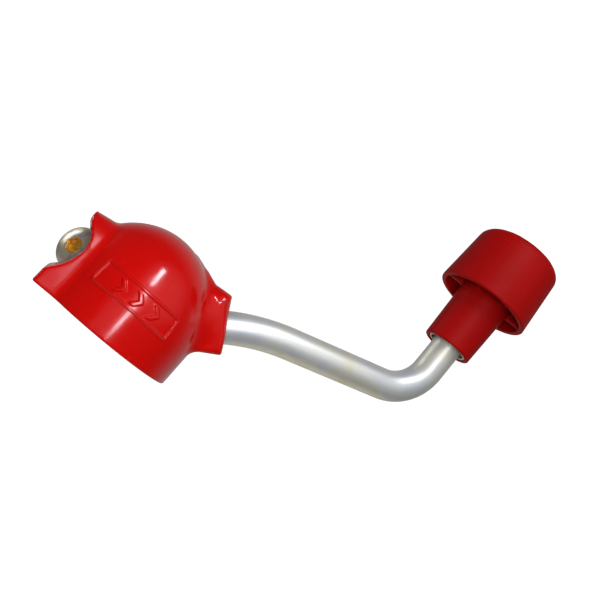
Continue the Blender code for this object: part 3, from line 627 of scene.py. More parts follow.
@dataclass
class Cap:
    """Moulded cap: domed body, squared end with a scoop for the screw, and the rod's hood."""

    radius: float = 30.8
    side: float = 13.3
    dome: float = 34.5
    wall: float = 2.9
    crease: float = 22.5
    end_reach: float = 32.3
    end_height: float = 33.5
    end_slope: float = math.tan(math.radians(13.0))
    scoop_radius: float = 15.7
    scoop_depth: float = 5.4
    screw_height: float = 18.4
    hood_half_width: float = 11.0
    hood_wall: float = 3.0
    hood_reach: float = 39.8
    hood_low: float = 23.3
    hood_depth: float = 24.0
    hood_angle: float = math.radians(30.6)
    hood_under_angle: float = math.radians(30.4)
    hood_corner: float = 1.1
    hood_taper: float = 0.2
    hood_flare: float = 2.2
    hood_arch: tuple[float, float] = (2.2, 3.4)
    hood_fillet: tuple[float, float] = (3.0, 4.5)
    rod_height: float = 25.9
    rod_radius: float = 7.0
    rise_start: float = 25.7
    rise_angle: float = math.radians(36.0)
    boss_low: float = 8.5
    boss_face: float = -18.0
    head_pocket: float = 10.15
    shank_way: float = 5.3
    cell: float = 0.55

    def body_distance(self, p: np.ndarray, shrink: float = 0.0) -> np.ndarray:
        """Distance to the domed body, a straight side under half an ellipsoid."""
        a = self.radius - shrink
        b = self.dome - shrink
        r = np.hypot(p[:, 0], p[:, 1])
        z = np.maximum(p[:, 2] - self.side, 0.0)
        near = np.sqrt((r / a) ** 2 + (z / b) ** 2)
        slope = np.sqrt((r / a ** 2) ** 2 + (z / b ** 2) ** 2)
        return near * (near - 1.0) / np.maximum(slope, 1e-6)

    def end_distance(self, p: np.ndarray) -> np.ndarray:
        """Distance to the squared end, which carries on the cap's section at the crease."""
        share = math.sqrt(1.0 - (self.crease / self.radius) ** 2)
        a = self.radius * share
        b = self.dome * share
        y = np.abs(p[:, 1])
        z = np.maximum(p[:, 2] - self.side, 0.0)
        near = np.sqrt((y / a) ** 2 + (z / b) ** 2)
        slope = np.sqrt((y / a ** 2) ** 2 + (z / b ** 2) ** 2)
        arch = near * (near - 1.0) / np.maximum(slope, 1e-6)
        inward = 16.0
        outline = [(-self.end_reach, -3.0), (-self.end_reach, self.end_height),
                   (-self.end_reach + inward, self.end_height + inward * self.end_slope),
                   (-self.end_reach + inward, -3.0)]
        side = polygon_distance(p[:, 0], p[:, 2], outline)
        return overlap(side, arch, 1.6)

    def hood_distance(self, p: np.ndarray) -> np.ndarray:
        """Distance to the hood, a flat-sided ridge that falls to a sloping end face."""
        crown = (self.hood_reach - self.hood_depth * math.sin(self.hood_angle),
                 self.hood_low + self.hood_depth * math.cos(self.hood_angle))
        foot_x = self.radius - self.wall
        foot_z = self.hood_low - (self.hood_reach - foot_x) * math.tan(self.hood_under_angle)
        top = self.side + self.dome
        r = self.hood_corner
        outline = [(8.0, foot_z + r), (8.0, top - 1.4 - r), (14.5, top - 2.6 - r),
                   (20.0, top - 4.6 - r),
                   (crown[0] - 3.4, crown[1] - 0.3 - r), (crown[0] - 0.54 * r, crown[1] - 1.05 * r),
                   (self.hood_reach - 1.37 * r, self.hood_low + 0.35 * r),
                   (foot_x - 0.51 * r, foot_z + 0.86 * r)]
        side = polygon_distance(p[:, 0], p[:, 2], outline) - r
        back = np.clip(self.hood_reach - p[:, 0], 0.0, 60.0)
        flare = self.hood_flare * (1.0 - np.exp(-self.hood_taper * back / self.hood_flare))
        half = (self.hood_half_width + flare
                - 0.045 * np.clip(27.0 - p[:, 0], 0.0, 14.0) ** 2)
        edge = self.hood_arch[0] + self.hood_arch[1] * ramp(p[:, 2], 27.0, 14.0)
        return overlap(side, (np.abs(p[:, 1]) - half) * 0.98, edge)

    def channel_distance(self, p: np.ndarray) -> np.ndarray:
        """Distance to the rod's way out through the hood, open underneath."""
        slope = (math.cos(self.rise_angle), math.sin(self.rise_angle))
        over = self.rod_radius + 1.0
        level = self.rod_height + over
        upper = (self.rise_start - slope[1] * over, self.rod_height + slope[0] * over)
        turn = upper[0] + slope[0] * (level - upper[1]) / slope[1]
        far = (upper[0] + slope[0] * 40.0, upper[1] + slope[1] * 40.0)
        sill = self.side + 4.8
        outside = self.radius + 0.15
        outline = [(6.0, sill), (6.0, level), (turn, level), far, (far[0] + 20.0, 8.6),
                   (outside, 8.6), (outside, sill)]
        side = polygon_distance(p[:, 0], p[:, 2], outline)
        return overlap(side, np.abs(p[:, 1]) - self.hood_half_width + self.hood_wall, 1.2)

    def distance(self, p: np.ndarray) -> np.ndarray:
        """Distance to the whole cap."""
        outer = join(self.body_distance(p), self.end_distance(p), 1.3)
        flank = ramp(p[:, 2], 16.0, 14.0) * (1.0 - ramp(p[:, 2], 33.0, 10.0))
        fillet = self.hood_fillet[0] + self.hood_fillet[1] * flank
        outer = join(outer, self.hood_distance(p), fillet)
        scoop_x = -self.end_reach + self.scoop_depth - self.scoop_radius
        scoop = np.hypot(p[:, 0] - scoop_x, p[:, 2] - self.screw_height) - self.scoop_radius
        outer = cut(outer, scoop, 0.9)
        boss = overlap(self.boss_low - p[:, 2], p[:, 0] - self.boss_face, 0.8)
        cavity = cut(self.body_distance(p, self.wall), boss, 0.8)
        shell = cut(outer, cavity, 0.8)
        shell = overlap(shell, -p[:, 2], 0.7)
        shell = cut(shell, self.channel_distance(p), 0.6)
        seat = CapScrew().seat
        axis = CapScrew().axis
        along = (p - np.array(seat)) @ np.array(axis)
        off = np.linalg.norm(p - np.array(seat) - along[:, None] * np.array(axis), axis=1)
        pocket = np.maximum(off - self.head_pocket, -along)
        shell = cut(shell, pocket, 0.4)
        way = np.maximum(off - self.shank_way, np.abs(along + 11.5) - 12.5)
        return cut(shell, way, 0.3)

    def build(self) -> bpy.types.Object:
        """Make the cap and return it."""
        mesher = FieldMesher(self.cell, (-34.0, -32.4, -1.5), (41.0, 32.6, 49.5))
        item = place_mesh("cap_moulding", mesher.build("cap_moulding", self.distance),
                          CAP_RED.build())
        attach(item, "crank")
        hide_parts("cap_shell")
        return item


@dataclass
class CapPanel:
    """Raised panel on the cap's side: a frame round a row of turning arrows."""

    low: float = 13.4
    high: float = 23.6
    start: float = math.radians(-37.0)
    end: float = math.radians(31.0)
    line: float = 0.9
    height: float = 0.55
    arrows: int = 3

    def relief(self, across: np.ndarray, up: np.ndarray, width: float) -> np.ndarray:
        """Height of the panel over the cap's side.

        Args:
            across: distance round the cap from the panel's left edge, in millimetres.
            up: distance over the panel's lower edge.
            width: length of the panel round the cap.

        Returns:
            Height in millimetres.
        """
        tall = self.high - self.low
        x = np.abs(across - width / 2) - width / 2 + 1.0
        y = np.abs(up - tall / 2) - tall / 2 + 1.0
        edge = np.hypot(np.maximum(x, 0), np.maximum(y, 0)) + np.minimum(np.maximum(x, y), 0) - 1.0
        frame = np.abs(edge + self.line) - self.line / 2
        marks = frame
        for index in range(self.arrows):
            centre = width * (0.5 + 0.21 * (index - (self.arrows - 1) / 2))
            u = across - centre
            v = np.abs(up - tall / 2)
            arm = np.abs(u + v * 0.9 - 1.4) * 0.74 - 0.75
            marks = np.minimum(marks, np.maximum(arm, v - 2.7))
        rise = np.clip(0.5 - marks / 0.5, 0.0, 1.0)
        rise = rise * rise * (3.0 - 2.0 * rise)
        sunk = np.clip((edge + 0.15) / 0.4, 0.0, 1.0)
        return 0.06 + self.height * rise - sunk * 0.9

    def build(self, cap: Cap) -> bpy.types.Object:
        """Make the panel on the given cap and return it."""
        width = (self.end - self.start) * (cap.radius - 0.8)
        columns, rows = int(width / 0.17), int((self.high - self.low + 0.6) / 0.17)
        u = np.linspace(-0.3, width + 0.3, columns)
        v = np.linspace(-0.3, self.high - self.low + 0.3, rows)
        across, up = np.meshgrid(u, v, indexing="ij")
        rise = self.relief(across, up, width)
        z = self.low + up
        angle = self.start + (self.end - self.start) * across / width
        over = np.maximum(z - cap.side, 0.0)
        share = np.sqrt(1.0 - (over / cap.dome) ** 2)
        radius = cap.radius * share
        lean = np.arctan2(over / cap.dome ** 2, radius / cap.radius ** 2)
        radius = radius + rise * np.cos(lean)
        z = z + rise * np.sin(lean)
        points = np.stack([radius * np.sin(angle), -radius * np.cos(angle), z], -1).reshape(-1, 3)
        numbers = np.arange(columns * rows).reshape(columns, rows)
        quads = np.stack([numbers[:-1, :-1], numbers[1:, :-1], numbers[1:, 1:], numbers[:-1, 1:]],
                         -1).reshape(-1, 4)
        mesh = bpy.data.meshes.new("cap_panel")
        mesh.from_pydata((points * MM).tolist(), [], quads.tolist())
        mesh.shade_smooth()
        item = place_mesh("cap_panel", mesh, bpy.data.materials[CAP_RED.name])
        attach(item, "crank")
        return item


# ------------------------------------------------------------------ cap screw

@dataclass
class CapScrew:
    """Button-head screw and its washer, turned towards the cap's front."""

    height: float = 18.4
    turn: float = math.radians(55.0)
    seat_x: float = -26.7
    seat_y: float = -3.0
    head_radius: float = 9.7
    head_height: float = 4.4
    shank_radius: float = 5.0
    length: float = 18.0
    socket_across: float = 5.5
    socket_depth: float = 2.8
    washer_radius: float = 9.0
    washer_base: float = 0.3
    washer_thickness: float = 1.2
    cell: float = 0.2

    @property
    def axis(self) -> tuple[float, float, float]:
        """Direction from the shank to the head."""
        return (-math.cos(self.turn), -math.sin(self.turn), 0.0)

    @property
    def seat(self) -> tuple[float, float, float]:
        """Centre of the screw's seat in the cap."""
        return (self.seat_x, self.seat_y, self.height)

    @property
    def matrix(self) -> Matrix:
        """Placing of a piece made along Z, in metres."""
        turn = Vector(self.axis).to_track_quat("Z", "Y").to_matrix().to_4x4()
        return Matrix.Translation(Vector(self.seat) * MM) @ turn

    def head_distance(self, p: np.ndarray) -> np.ndarray:
        """Distance to the screw's head with its hexagon socket, base at zero."""
        r = np.hypot(p[:, 0], p[:, 1])
        bulge = 0.82 * self.head_height
        ball_r = (self.head_radius ** 2 + (bulge + 1.6) ** 2) / (2 * (bulge + 1.6))
        centre = self.head_height - ball_r
        ball = np.hypot(r, p[:, 2] - centre) - ball_r
        flat = np.maximum(r - self.head_radius, np.maximum(-p[:, 2], p[:, 2] - self.head_height))
        head = overlap(ball, flat, 0.35)
        angle = np.arctan2(p[:, 1], p[:, 0])
        sector = math.pi / 3
        local = np.mod(angle, sector) - sector / 2
        hexagon = r * np.cos(local) - self.socket_across / 2
        socket = np.maximum(hexagon, self.head_height - self.socket_depth - p[:, 2])
        return cut(head, socket, 0.3)

    def build(self) -> list[bpy.types.Object]:
        """Make the screw and its washer and return them."""
        base = self.washer_base + self.washer_thickness + 0.3
        reach = self.head_radius + 0.6
        mesher = FieldMesher(self.cell, (-reach, -reach, -0.8),
                             (reach, reach, self.head_height + 0.8))
        mesh = mesher.build("screw_head", self.head_distance)
        mesh.transform(Matrix.Translation((0, 0, base * MM)))
        mesh.transform(self.matrix)
        head = place_mesh("screw_head", mesh, SCREW_DARK.build())
        mesh.materials.append(SOCKET_YELLOW.build())
        inverse = self.matrix.inverted()
        inner = 0.5 * self.socket_across / math.cos(math.pi / 6) + 0.1
        crown = base + self.head_height - 0.25
        for face in mesh.polygons:
            spot = inverse @ face.center / MM
            if math.hypot(spot.x, spot.y) < inner and spot.z < crown:
                face.material_index = 1
        tip = base - self.length
        shank = turned_mesh("screw_shank", rounded([
            (0.0, base + 1.0), (self.shank_radius, base + 1.0), (self.shank_radius, tip + 0.8),
            (self.shank_radius - 0.8, tip), (0.0, tip)], 0.2, closed=False), matrix=self.matrix)
        shank_item = place_mesh("screw_shank", shank, bpy.data.materials[SCREW_DARK.name])
        low = self.washer_base
        washer = turned_mesh("screw_washer_ring", rounded([
            (5.35, low + self.washer_thickness), (self.washer_radius, low + self.washer_thickness),
            (self.washer_radius, low), (5.35, low)], 0.25), matrix=self.matrix)
        washer_item = place_mesh("screw_washer_ring", washer, RACE_STEEL.build())
        for item in (head, shank_item, washer_item):
            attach(item, "crank")
        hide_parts("cap_screw")
        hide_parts("screw_washer")
        return [head, shank_item, washer_item]


# ------------------------------------------------------------------ crank rod

@dataclass
class CrankRod:
    """Bent drawn bar, swept along its path by Geometry Nodes."""

    radius: float = 7.0
    inner_end: float = -11.0
    height: float = 25.9
    throw: float = 120.1
    rise_start: float = 25.7
    rise_length: float = 25.7
    rise_angle: float = math.radians(36.0)
    arm_angle: float = math.radians(18.1)
    bends: tuple[float, float, float] = (22.0, 100.0, 20.5)
    top: float = 143.8
    sides: int = 72
    end_round: float = 0.8

    def path(self) -> list[Vector]:
        """Return the rod's centreline in millimetres."""
        start = Vector((self.inner_end, 0, self.height))
        first = Vector((self.rise_start, 0, self.height))
        rise = Vector((math.cos(self.rise_angle), 0, math.sin(self.rise_angle)))
        second = first + rise * self.rise_length
        climb = (self.throw - second.x) * math.tan(self.arm_angle)
        third = Vector((self.throw, 0, second.z + climb))
        end = Vector((self.throw, 0, self.top))
        corners = [start, first, second, third, end]
        points = [start]
        for index, radius in enumerate(self.bends):
            points += self._bend(corners[index], corners[index + 1], corners[index + 2], radius)
        points.append(end)
        return self._even(points, 0.8)

    @staticmethod
    def _bend(before: Vector, corner: Vector, after: Vector, radius: float) -> list[Vector]:
        """Return the arc that rounds one corner of the path."""
        first = (before - corner).normalized()
        second = (after - corner).normalized()
        half = first.angle(second) / 2
        centre = corner + (first + second).normalized() * radius / math.sin(half)
        start = corner + first * radius / math.tan(half) - centre
        axis = first.cross(second).normalized()
        sweep = math.pi - 2 * half
        return [centre + Matrix.Rotation(-sweep * i / 40, 3, axis) @ start for i in range(41)]

    @staticmethod
    def _even(points: list[Vector], step: float) -> list[Vector]:
        """Return points at even distances along a path."""
        spots = np.array([tuple(p) for p in points])
        run = np.concatenate([[0.0], np.cumsum(np.linalg.norm(np.diff(spots, axis=0), axis=1))])
        along = np.linspace(0.0, run[-1], int(run[-1] / step))
        return [Vector([float(np.interp(s, run, spots[:, i])) for i in range(3)]) for s in along]

    def sweep_tree(self) -> bpy.types.NodeTree:
        """Return the Geometry Nodes tree that sweeps a round section along a curve."""
        tree = bpy.data.node_groups.new("rod_sweep", "GeometryNodeTree")
        tree.interface.new_socket("Geometry", in_out="INPUT", socket_type="NodeSocketGeometry")
        tree.interface.new_socket("Section radius", in_out="INPUT", socket_type="NodeSocketFloat")
        tree.interface.new_socket("Section sides", in_out="INPUT", socket_type="NodeSocketInt")
        tree.interface.new_socket("Finish", in_out="INPUT", socket_type="NodeSocketMaterial")
        tree.interface.new_socket("Geometry", in_out="OUTPUT", socket_type="NodeSocketGeometry")
        given = add_node(tree, "NodeGroupInput")
        circle = add_node(tree, "GeometryNodeCurvePrimitiveCircle", None,
                          {"Resolution": given.outputs["Section sides"],
                           "Radius": given.outputs["Section radius"]})
        swept = add_node(tree, "GeometryNodeCurveToMesh", None,
                         {"Curve": given.outputs["Geometry"],
                          "Profile Curve": circle.outputs["Curve"], "Fill Caps": True})
        smooth = add_node(tree, "GeometryNodeSetShadeSmooth", None,
                          {"Geometry": swept.outputs["Mesh"]})
        real = add_node(tree, "GeometryNodeRealizeInstances", None,
                        {"Geometry": smooth.outputs["Geometry"]})
        finished = add_node(tree, "GeometryNodeSetMaterial", None,
                            {"Geometry": real.outputs["Geometry"],
                             "Material": given.outputs["Finish"]})
        add_node(tree, "NodeGroupOutput", None, {"Geometry": finished.outputs["Geometry"]})
        return tree

    def build(self) -> bpy.types.Object:
        """Make the rod and return it."""
        curve = bpy.data.curves.new("rod_path", "CURVE")
        curve.dimensions = "3D"
        spline = curve.splines.new("POLY")
        path = self.path()
        spline.points.add(len(path) - 1)
        for point, spot in zip(spline.points, path):
            point.co = (*(spot * MM), 1.0)
        carrier = bpy.data.objects.new("rod_path", curve)
        bpy.context.scene.collection.objects.link(carrier)
        modifier = carrier.modifiers.new("sweep", "NODES")
        modifier.node_group = self.sweep_tree()
        finish = ROD_ZINC.build()
        set_input(modifier, "Section radius", self.radius * MM)
        set_input(modifier, "Section sides", self.sides)
        set_input(modifier, "Finish", finish)
        mesh = bake_geometry_nodes(carrier, "crank_bar")
        build = bmesh.new()
        build.from_mesh(mesh)
        bmesh.ops.remove_doubles(build, verts=build.verts, dist=0.002 * MM)
        rims = [edge for edge in build.edges
                if len(edge.link_faces) == 2 and edge.calc_face_angle(0.0) > 1.0]
        bmesh.ops.bevel(build, geom=rims, offset=self.end_round * MM, segments=4, profile=0.5,
                        affect="EDGES")
        bmesh.ops.recalc_face_normals(build, faces=build.faces)
        build.to_mesh(mesh)
        build.free()
        mesh.shade_smooth()
        mesh.set_sharp_from_angle(angle=math.radians(50))
        item = place_mesh("crank_bar", mesh, finish)
        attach(item, "crank")
        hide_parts("crank_rod")
        return item


# ------------------------------------------------------------------ knob

@dataclass
class Knob:
    """Spinning knob: stem, roofed cup and radial ribs in one moulding, with its metal sleeve."""

    throw: float = 120.1
    base: float = 93.4
    top: float = 151.2
    stem_radius: float = 11.7
    stem_growth: float = 0.8
    cup_base: float = 119.8
    cup_radius: float = 22.5
    cup_draft: float = 1.8
    cup_edge: float = 4.6
    cup_wall: float = 2.4
    cup_roof: float = 4.0
    bore: float = 9.9
    plug_radius: float = 9.75
    sleeve_radii: tuple[float, float] = (8.7, 9.6)
    bush_radii: tuple[float, float] = (7.45, 8.4)
    ribs: int = 6
    rib_thickness: float = 2.2
    rib_recess: float = 1.6
    rib_draft: float = 0.02
    rib_turn: float = math.radians(37.0)
    plug_thickness: float = 4.2
    low_bush: float = 96.4
    bush_length: float = 10.0
    cell: float = 0.5

    def distance(self, p: np.ndarray) -> np.ndarray:
        """Distance to the knob's moulding, about its own axis."""
        r = np.hypot(p[:, 0], p[:, 1])
        z = p[:, 2]
        shoulder = self.top - self.cup_edge
        draft = self.cup_draft / (shoulder - self.cup_base)
        side = (r - self.cup_radius + draft * (z - self.cup_base)) * math.cos(math.atan(draft))
        outer = overlap(side, z - self.top, self.cup_edge)
        outer = overlap(outer, self.cup_base - z, 0.7)
        hollow = np.maximum(side + self.cup_wall, z - self.top + self.cup_roof)
        cup = cut(outer, hollow, 0.5)
        growth = self.stem_growth / (self.cup_base - self.base)
        stem = r - self.stem_radius - growth * np.clip(z - self.base, 0.0,
                                                       self.cup_base - self.base)
        stem = overlap(overlap(stem, self.base - z, 0.6), z - self.top + 2.0, 0.2)
        knob = join(cup, stem, 1.2)
        sector = math.tau / self.ribs
        angle = np.arctan2(p[:, 1], p[:, 0]) - self.rib_turn + sector / 2
        local = np.mod(angle, sector) - sector / 2
        draft_over = self.rib_draft * np.maximum(z - self.cup_base, 0)
        rib = np.abs(r * np.sin(local)) - self.rib_thickness / 2 - draft_over
        rib = overlap(rib, self.cup_base + self.rib_recess - z, 0.6)
        rib = np.maximum(rib, outer + 0.6)
        rib = np.where(np.abs(local) > math.pi / 2, 50.0, rib)
        knob = join(knob, rib, 1.0)
        return cut(knob, r - self.bore, 0.4)

    def build(self) -> list[bpy.types.Object]:
        """Make the knob's moulding, plug and sleeve and return them."""
        reach = self.cup_radius + 1.0
        mesher = FieldMesher(self.cell, (-reach, -reach, self.base - 1.2),
                             (reach, reach, self.top + 1.2))
        mesh = mesher.build("knob_moulding", self.distance)
        mesh.transform(Matrix.Translation((self.throw * MM, 0, 0)))
        red = KNOB_RED.build()
        body = place_mesh("knob_moulding", mesh, red)
        plug_low = self.top - self.plug_thickness
        plug = place_mesh("knob_top_plug", turned_mesh("knob_top_plug", rounded([
            (0.0, self.top), (self.plug_radius - 0.65, self.top),
            (self.plug_radius, self.top - 0.5), (self.plug_radius, plug_low),
            (0.0, plug_low)], 0.4, closed=False), self.throw), red)
        sleeve_top, sleeve_low = plug_low - 0.6, self.base + 0.4
        inner, outer = self.sleeve_radii
        sleeve = place_mesh("knob_steel_sleeve", turned_mesh("knob_steel_sleeve", rounded([
            (inner, sleeve_top), (outer, sleeve_top), (outer, sleeve_low), (inner, sleeve_low)],
            0.3), self.throw), SEAT_ZINC.build())
        bush_top = self.low_bush + self.bush_length
        inner, outer = self.bush_radii
        low_bush = place_mesh("knob_low_bush", turned_mesh("knob_low_bush", rounded([
            (inner, bush_top), (outer, bush_top), (outer, self.low_bush),
            (inner, self.low_bush)], 0.25), self.throw), BUSH_NYLON.build())
        for item, node, slot in ((body, "knob_body", "knob_red"), (plug, "knob_plug", "knob_red"),
                                 (sleeve, "knob_sleeve", "zinc"),
                                 (low_bush, "knob_bush_lower", "nylon")):
            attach(item, "knob")
            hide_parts(node)
        return [body, plug, sleeve, low_bush]


# ------------------------------------------------------------------ bearing and underside

@dataclass
class ThrustRace:
    """Balls of the thrust race, placed round their circle by Geometry Nodes."""

    pitch: float = 9.55
    ball: float = 2.38
    height: float = 10.8
    count: int = 10

    def circle_tree(self) -> bpy.types.NodeTree:
        """Return the Geometry Nodes tree that puts balls on a circle."""
        tree = bpy.data.node_groups.new("ball_circle", "GeometryNodeTree")
        tree.interface.new_socket("Geometry", in_out="INPUT", socket_type="NodeSocketGeometry")
        for name, kind in (("Ball count", "NodeSocketInt"), ("Pitch radius", "NodeSocketFloat"),
                           ("Ball radius", "NodeSocketFloat"), ("Finish", "NodeSocketMaterial")):
            tree.interface.new_socket(name, in_out="INPUT", socket_type=kind)
        tree.interface.new_socket("Geometry", in_out="OUTPUT", socket_type="NodeSocketGeometry")
        given = add_node(tree, "NodeGroupInput")
        circle = add_node(tree, "GeometryNodeMeshCircle", None,
                          {"Vertices": given.outputs["Ball count"],
                           "Radius": given.outputs["Pitch radius"]})
        ball = add_node(tree, "GeometryNodeMeshIcoSphere", None,
                        {"Radius": given.outputs["Ball radius"], "Subdivisions": 5})
        spread = add_node(tree, "GeometryNodeInstanceOnPoints", None,
                          {"Points": circle.outputs["Mesh"], "Instance": ball.outputs["Mesh"]})
        real = add_node(tree, "GeometryNodeRealizeInstances", None,
                        {"Geometry": spread.outputs["Instances"]})
        smooth = add_node(tree, "GeometryNodeSetShadeSmooth", None,
                          {"Geometry": real.outputs["Geometry"]})
        finished = add_node(tree, "GeometryNodeSetMaterial", None,
                            {"Geometry": smooth.outputs["Geometry"],
                             "Material": given.outputs["Finish"]})
        add_node(tree, "NodeGroupOutput", None, {"Geometry": finished.outputs["Geometry"]})
        return tree

    def build(self) -> bpy.types.Object:
        """Make the balls and return them as one piece."""
        carrier = bpy.data.objects.new("ball_carrier", bpy.data.meshes.new("ball_carrier"))
        bpy.context.scene.collection.objects.link(carrier)
        modifier = carrier.modifiers.new("balls", "NODES")
        modifier.node_group = self.circle_tree()
        steel = bpy.data.materials[RACE_STEEL.name]
        for name, value in (("Ball count", self.count), ("Pitch radius", self.pitch * MM),
                            ("Ball radius", self.ball * MM), ("Finish", steel)):
            set_input(modifier, name, value)
        mesh = bake_geometry_nodes(carrier, "race_balls")
        mesh.transform(Matrix.Translation((0, 0, self.height * MM)))
        item = place_mesh("race_balls", mesh, steel)
        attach(item, "cage")
        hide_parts(*["bearing_ball_%02d" % (i + 1) for i in range(self.count)])
        return item


@dataclass
class SeatCup:
    """Pressed cup that closes the jack tube."""

    outside: float = 25.5
    inside: float = 24.3
    hole: float = 6.2
    base: float = 0.8
    plate_low: float = 4.0
    plate_high: float = 6.0
    bend: float = 1.4
    land: float = 0.4
    land_inner: float = 12.5
    land_outer: float = 23.6

    def build(self) -> bpy.types.Object:
        """Make the cup and return it."""
        corner = [(self.outside - self.bend + self.bend * math.sin(a), self.plate_high - self.bend
                   + self.bend * math.cos(a)) for a in np.linspace(0, math.pi / 2, 9)]
        relief = self.plate_low + self.land
        profile = [(self.hole + 0.3, self.plate_high)] + corner
        profile += [(self.outside, self.base + 0.25), (self.outside - 0.25, self.base),
                    (self.inside + 0.25, self.base), (self.inside, self.base + 0.25),
                    (self.inside, relief), (self.land_outer, relief),
                    (self.land_outer - 0.1, self.plate_low),
                    (self.land_inner + 0.1, self.plate_low),
                    (self.land_inner, relief), (self.hole + 0.3, relief), (self.hole, relief + 0.3),
                    (self.hole, self.plate_high - 0.3)]
        item = place_mesh("seat_pressing", turned_mesh("seat_pressing", profile),
                          bpy.data.materials[SEAT_ZINC.name])
        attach(item, "seat")
        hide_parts("bearing_seat")
        return item


def dress_remaining(nodes: dict[str, bpy.types.Object]) -> None:
    """Give the CAD nodes that still show their finishes.

    Args:
        nodes: the frame's nodes by name.
    """
    names = {"race_lower": RACE_STEEL, "race_upper": RACE_STEEL, "ball_cage": CAGE_BRASS,
             "drive_hub": SEAT_ZINC, "rod_pin": RACE_STEEL, "neck_washer": RACE_STEEL,
             "neck_clip": SPRING_DARK, "knob_bush_upper": BUSH_NYLON, "knob_washer": BUSH_NYLON,
             "knob_stop_ring": RACE_STEEL, "knob_push_ring": RACE_STEEL}
    for name, finish in names.items():
        material = bpy.data.materials.get(finish.name) or finish.build()
        nodes[name].data.materials.clear()
        nodes[name].data.materials.append(material)
        LOG.info("dressed %s in %s", name, finish.name)


# ------------------------------------------------------------------ stage

@dataclass(frozen=True)
class Lamp:
    """Rectangular light: place and size in metres, power in watts."""

    name: str
    place: tuple[float, float, float]
    size: tuple[float, float]
    power: float
    mirrored: bool = True
    tint: tuple[float, float, float] = (0.93, 0.92, 1.0)


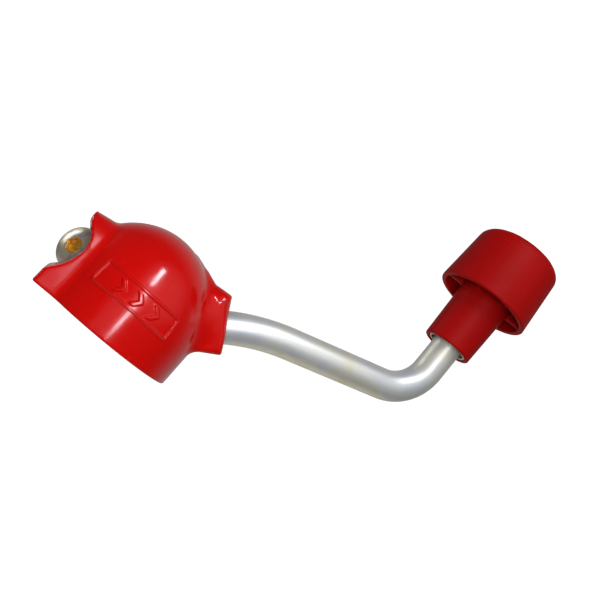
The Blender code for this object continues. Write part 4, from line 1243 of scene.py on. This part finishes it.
@dataclass
class Stage:
    """Pale floor and backdrop, soft lights and the camera."""

    floor_drop: float = 0.22
    room: float = 3.0
    eye: tuple[float, float, float] = (-0.03028, -0.27405, 0.0195)
    yaw: float = math.radians(16.76)
    pitch: float = math.radians(8.6)
    roll: float = math.radians(40.8)
    lens: float = 40.96
    strips: list[Lamp] = field(default_factory=lambda: [
        Lamp("key_strip", (0.018, -0.40, 0.10), (0.035, 0.24), 0.55),
        Lamp("key_strip_high", (0.012, -0.27, 0.35), (0.035, 0.20), 0.6),
        Lamp("side_strip", (-0.32, 0.16, 0.10), (0.10, 0.25), 0.38),
        Lamp("camera_fill", (-0.12, -0.50, -0.04), (0.25, 0.25), 1.2, mirrored=False),
    ])

    def build(self) -> None:
        """Make the floor, the lights and the camera."""
        self._floor()
        self._world()
        for lamp in self.strips:
            self._light(lamp)
        self._camera()

    def _floor(self) -> None:
        """Make the pale floor and the round backdrop that rises from it."""
        rise = [(self.room * math.cos(a) / MM, (self.room * math.sin(a) - self.floor_drop) / MM)
                for a in np.linspace(0.1, math.pi / 2 - 0.02, 12)]
        mesh = turned_mesh("floor", [(0.0, -self.floor_drop / MM),
                                     (self.room / MM, -self.floor_drop / MM)] + rise
                           + [(0.0, (self.room - self.floor_drop) / MM)], steps=64)
        mesh.flip_normals()
        material = bpy.data.materials.new("pale_floor")
        material.use_nodes = True
        shader = material.node_tree.nodes["Principled BSDF"]
        shader.inputs["Base Color"].default_value = hex_to_linear("F2F2F2")
        shader.inputs["Roughness"].default_value = 0.9
        shader.inputs["Specular IOR Level"].default_value = 0.0
        shader.inputs["Emission Color"].default_value = (1.0, 1.0, 1.0, 1.0)
        shader.inputs["Emission Strength"].default_value = 1.0
        floor = place_mesh("floor", mesh, material)
        floor.visible_diffuse = False
        floor.visible_glossy = False
        floor.visible_shadow = False

    def _world(self) -> None:
        """Make the surroundings: paler behind the object, darker on the near side."""
        world = bpy.data.worlds.new("studio")
        world.use_nodes = True
        tree = world.node_tree
        shader = tree.nodes["Background"]
        way = add_node(tree, "ShaderNodeTexCoord").outputs["Generated"]
        depth = add_node(tree, "ShaderNodeVectorMath", {"operation": "DOT_PRODUCT"},
                         {0: way, 1: (0.45, 0.85, 0.27)})
        back = add_node(tree, "ShaderNodeMapRange", {"interpolation_type": "SMOOTHSTEP"},
                        {"Value": depth.outputs["Value"], "From Min": 0.3, "From Max": 1.0,
                         "To Min": 0.04, "To Max": 0.42})
        below = add_node(tree, "ShaderNodeVectorMath", {"operation": "DOT_PRODUCT"},
                         {0: way, 1: (0.1, 0.45, -0.89)})
        ground = add_node(tree, "ShaderNodeMapRange", {"interpolation_type": "SMOOTHSTEP"},
                          {"Value": below.outputs["Value"], "From Min": 0.55, "From Max": 0.9,
                           "To Min": 0.0, "To Max": 1.0})
        level = add_node(tree, "ShaderNodeMix", {"data_type": "RGBA"},
                         {0: ground.outputs["Result"], 6: back.outputs["Result"],
                          7: hex_to_linear("D9D0BC")})
        front = add_node(tree, "ShaderNodeVectorMath", {"operation": "DOT_PRODUCT"},
                         {0: way, 1: (0.37, -0.68, 0.63)})
        window = add_node(tree, "ShaderNodeMapRange", {"interpolation_type": "SMOOTHSTEP"},
                          {"Value": front.outputs["Value"], "From Min": 0.70, "From Max": 1.0,
                           "To Min": 0.0, "To Max": 0.45})
        lit = add_node(tree, "ShaderNodeMix", {"data_type": "RGBA"},
                       {0: window.outputs["Result"], 6: level.outputs[2],
                        7: (0.95, 0.97, 1.0, 1.0)})
        tree.links.new(lit.outputs[2], shader.inputs["Color"])
        shader.inputs["Strength"].default_value = 1.0
        bpy.context.scene.world = world

    def _light(self, lamp: Lamp) -> None:
        """Add a rectangular light that faces the cap.

        Args:
            lamp: its name, place, size and power.
        """
        data = bpy.data.lights.new(lamp.name, "AREA")
        data.shape = "RECTANGLE"
        data.size, data.size_y = lamp.size
        data.energy = lamp.power
        data.color = lamp.tint
        item = bpy.data.objects.new(lamp.name, data)
        bpy.context.scene.collection.objects.link(item)
        item.visible_glossy = lamp.mirrored
        item.location = lamp.place
        aim = Vector((0.03, 0.0, 0.04)) - Vector(lamp.place)
        item.rotation_euler = aim.to_track_quat("-Z", "Y").to_euler()

    def _camera(self) -> None:
        """Add the camera."""
        forward = Vector((math.sin(self.yaw) * math.cos(self.pitch),
                          math.cos(self.yaw) * math.cos(self.pitch), math.sin(self.pitch)))
        right = Vector((math.cos(self.yaw), -math.sin(self.yaw), 0.0))
        up = right.cross(forward)
        right_rolled = right * math.cos(self.roll) + up * math.sin(self.roll)
        up_rolled = -right * math.sin(self.roll) + up * math.cos(self.roll)
        data = bpy.data.cameras.new("camera")
        data.lens = self.lens
        data.clip_start = 0.01
        camera = bpy.data.objects.new("camera", data)
        bpy.context.scene.collection.objects.link(camera)
        turn = Matrix((right_rolled, up_rolled, -forward)).transposed().to_4x4()
        camera.matrix_world = Matrix.Translation(Vector(self.eye)) @ turn
        bpy.context.scene.camera = camera


# ------------------------------------------------------------------ main

def main() -> None:
    """Build every sub-assembly around the frame and report each piece."""
    logging.basicConfig(level=logging.INFO, format="%(name)s: %(message)s")
    for item in list(bpy.data.objects):
        bpy.data.objects.remove(item, do_unlink=True)
    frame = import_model()
    bpy.context.scene.view_settings.view_transform = "Standard"
    cap = Cap()
    made = [cap.build(), CapPanel().build(cap)]
    made += CapScrew().build()
    made.append(CrankRod().build())
    made += Knob().build()
    made.append(ThrustRace().build())
    made.append(SeatCup().build())
    dress_remaining(frame["nodes"])
    for item in made:
        LOG.info("%s: %d faces", item.name, len(item.data.polygons))
    Stage().build()


if __name__ == "__main__":
    main()
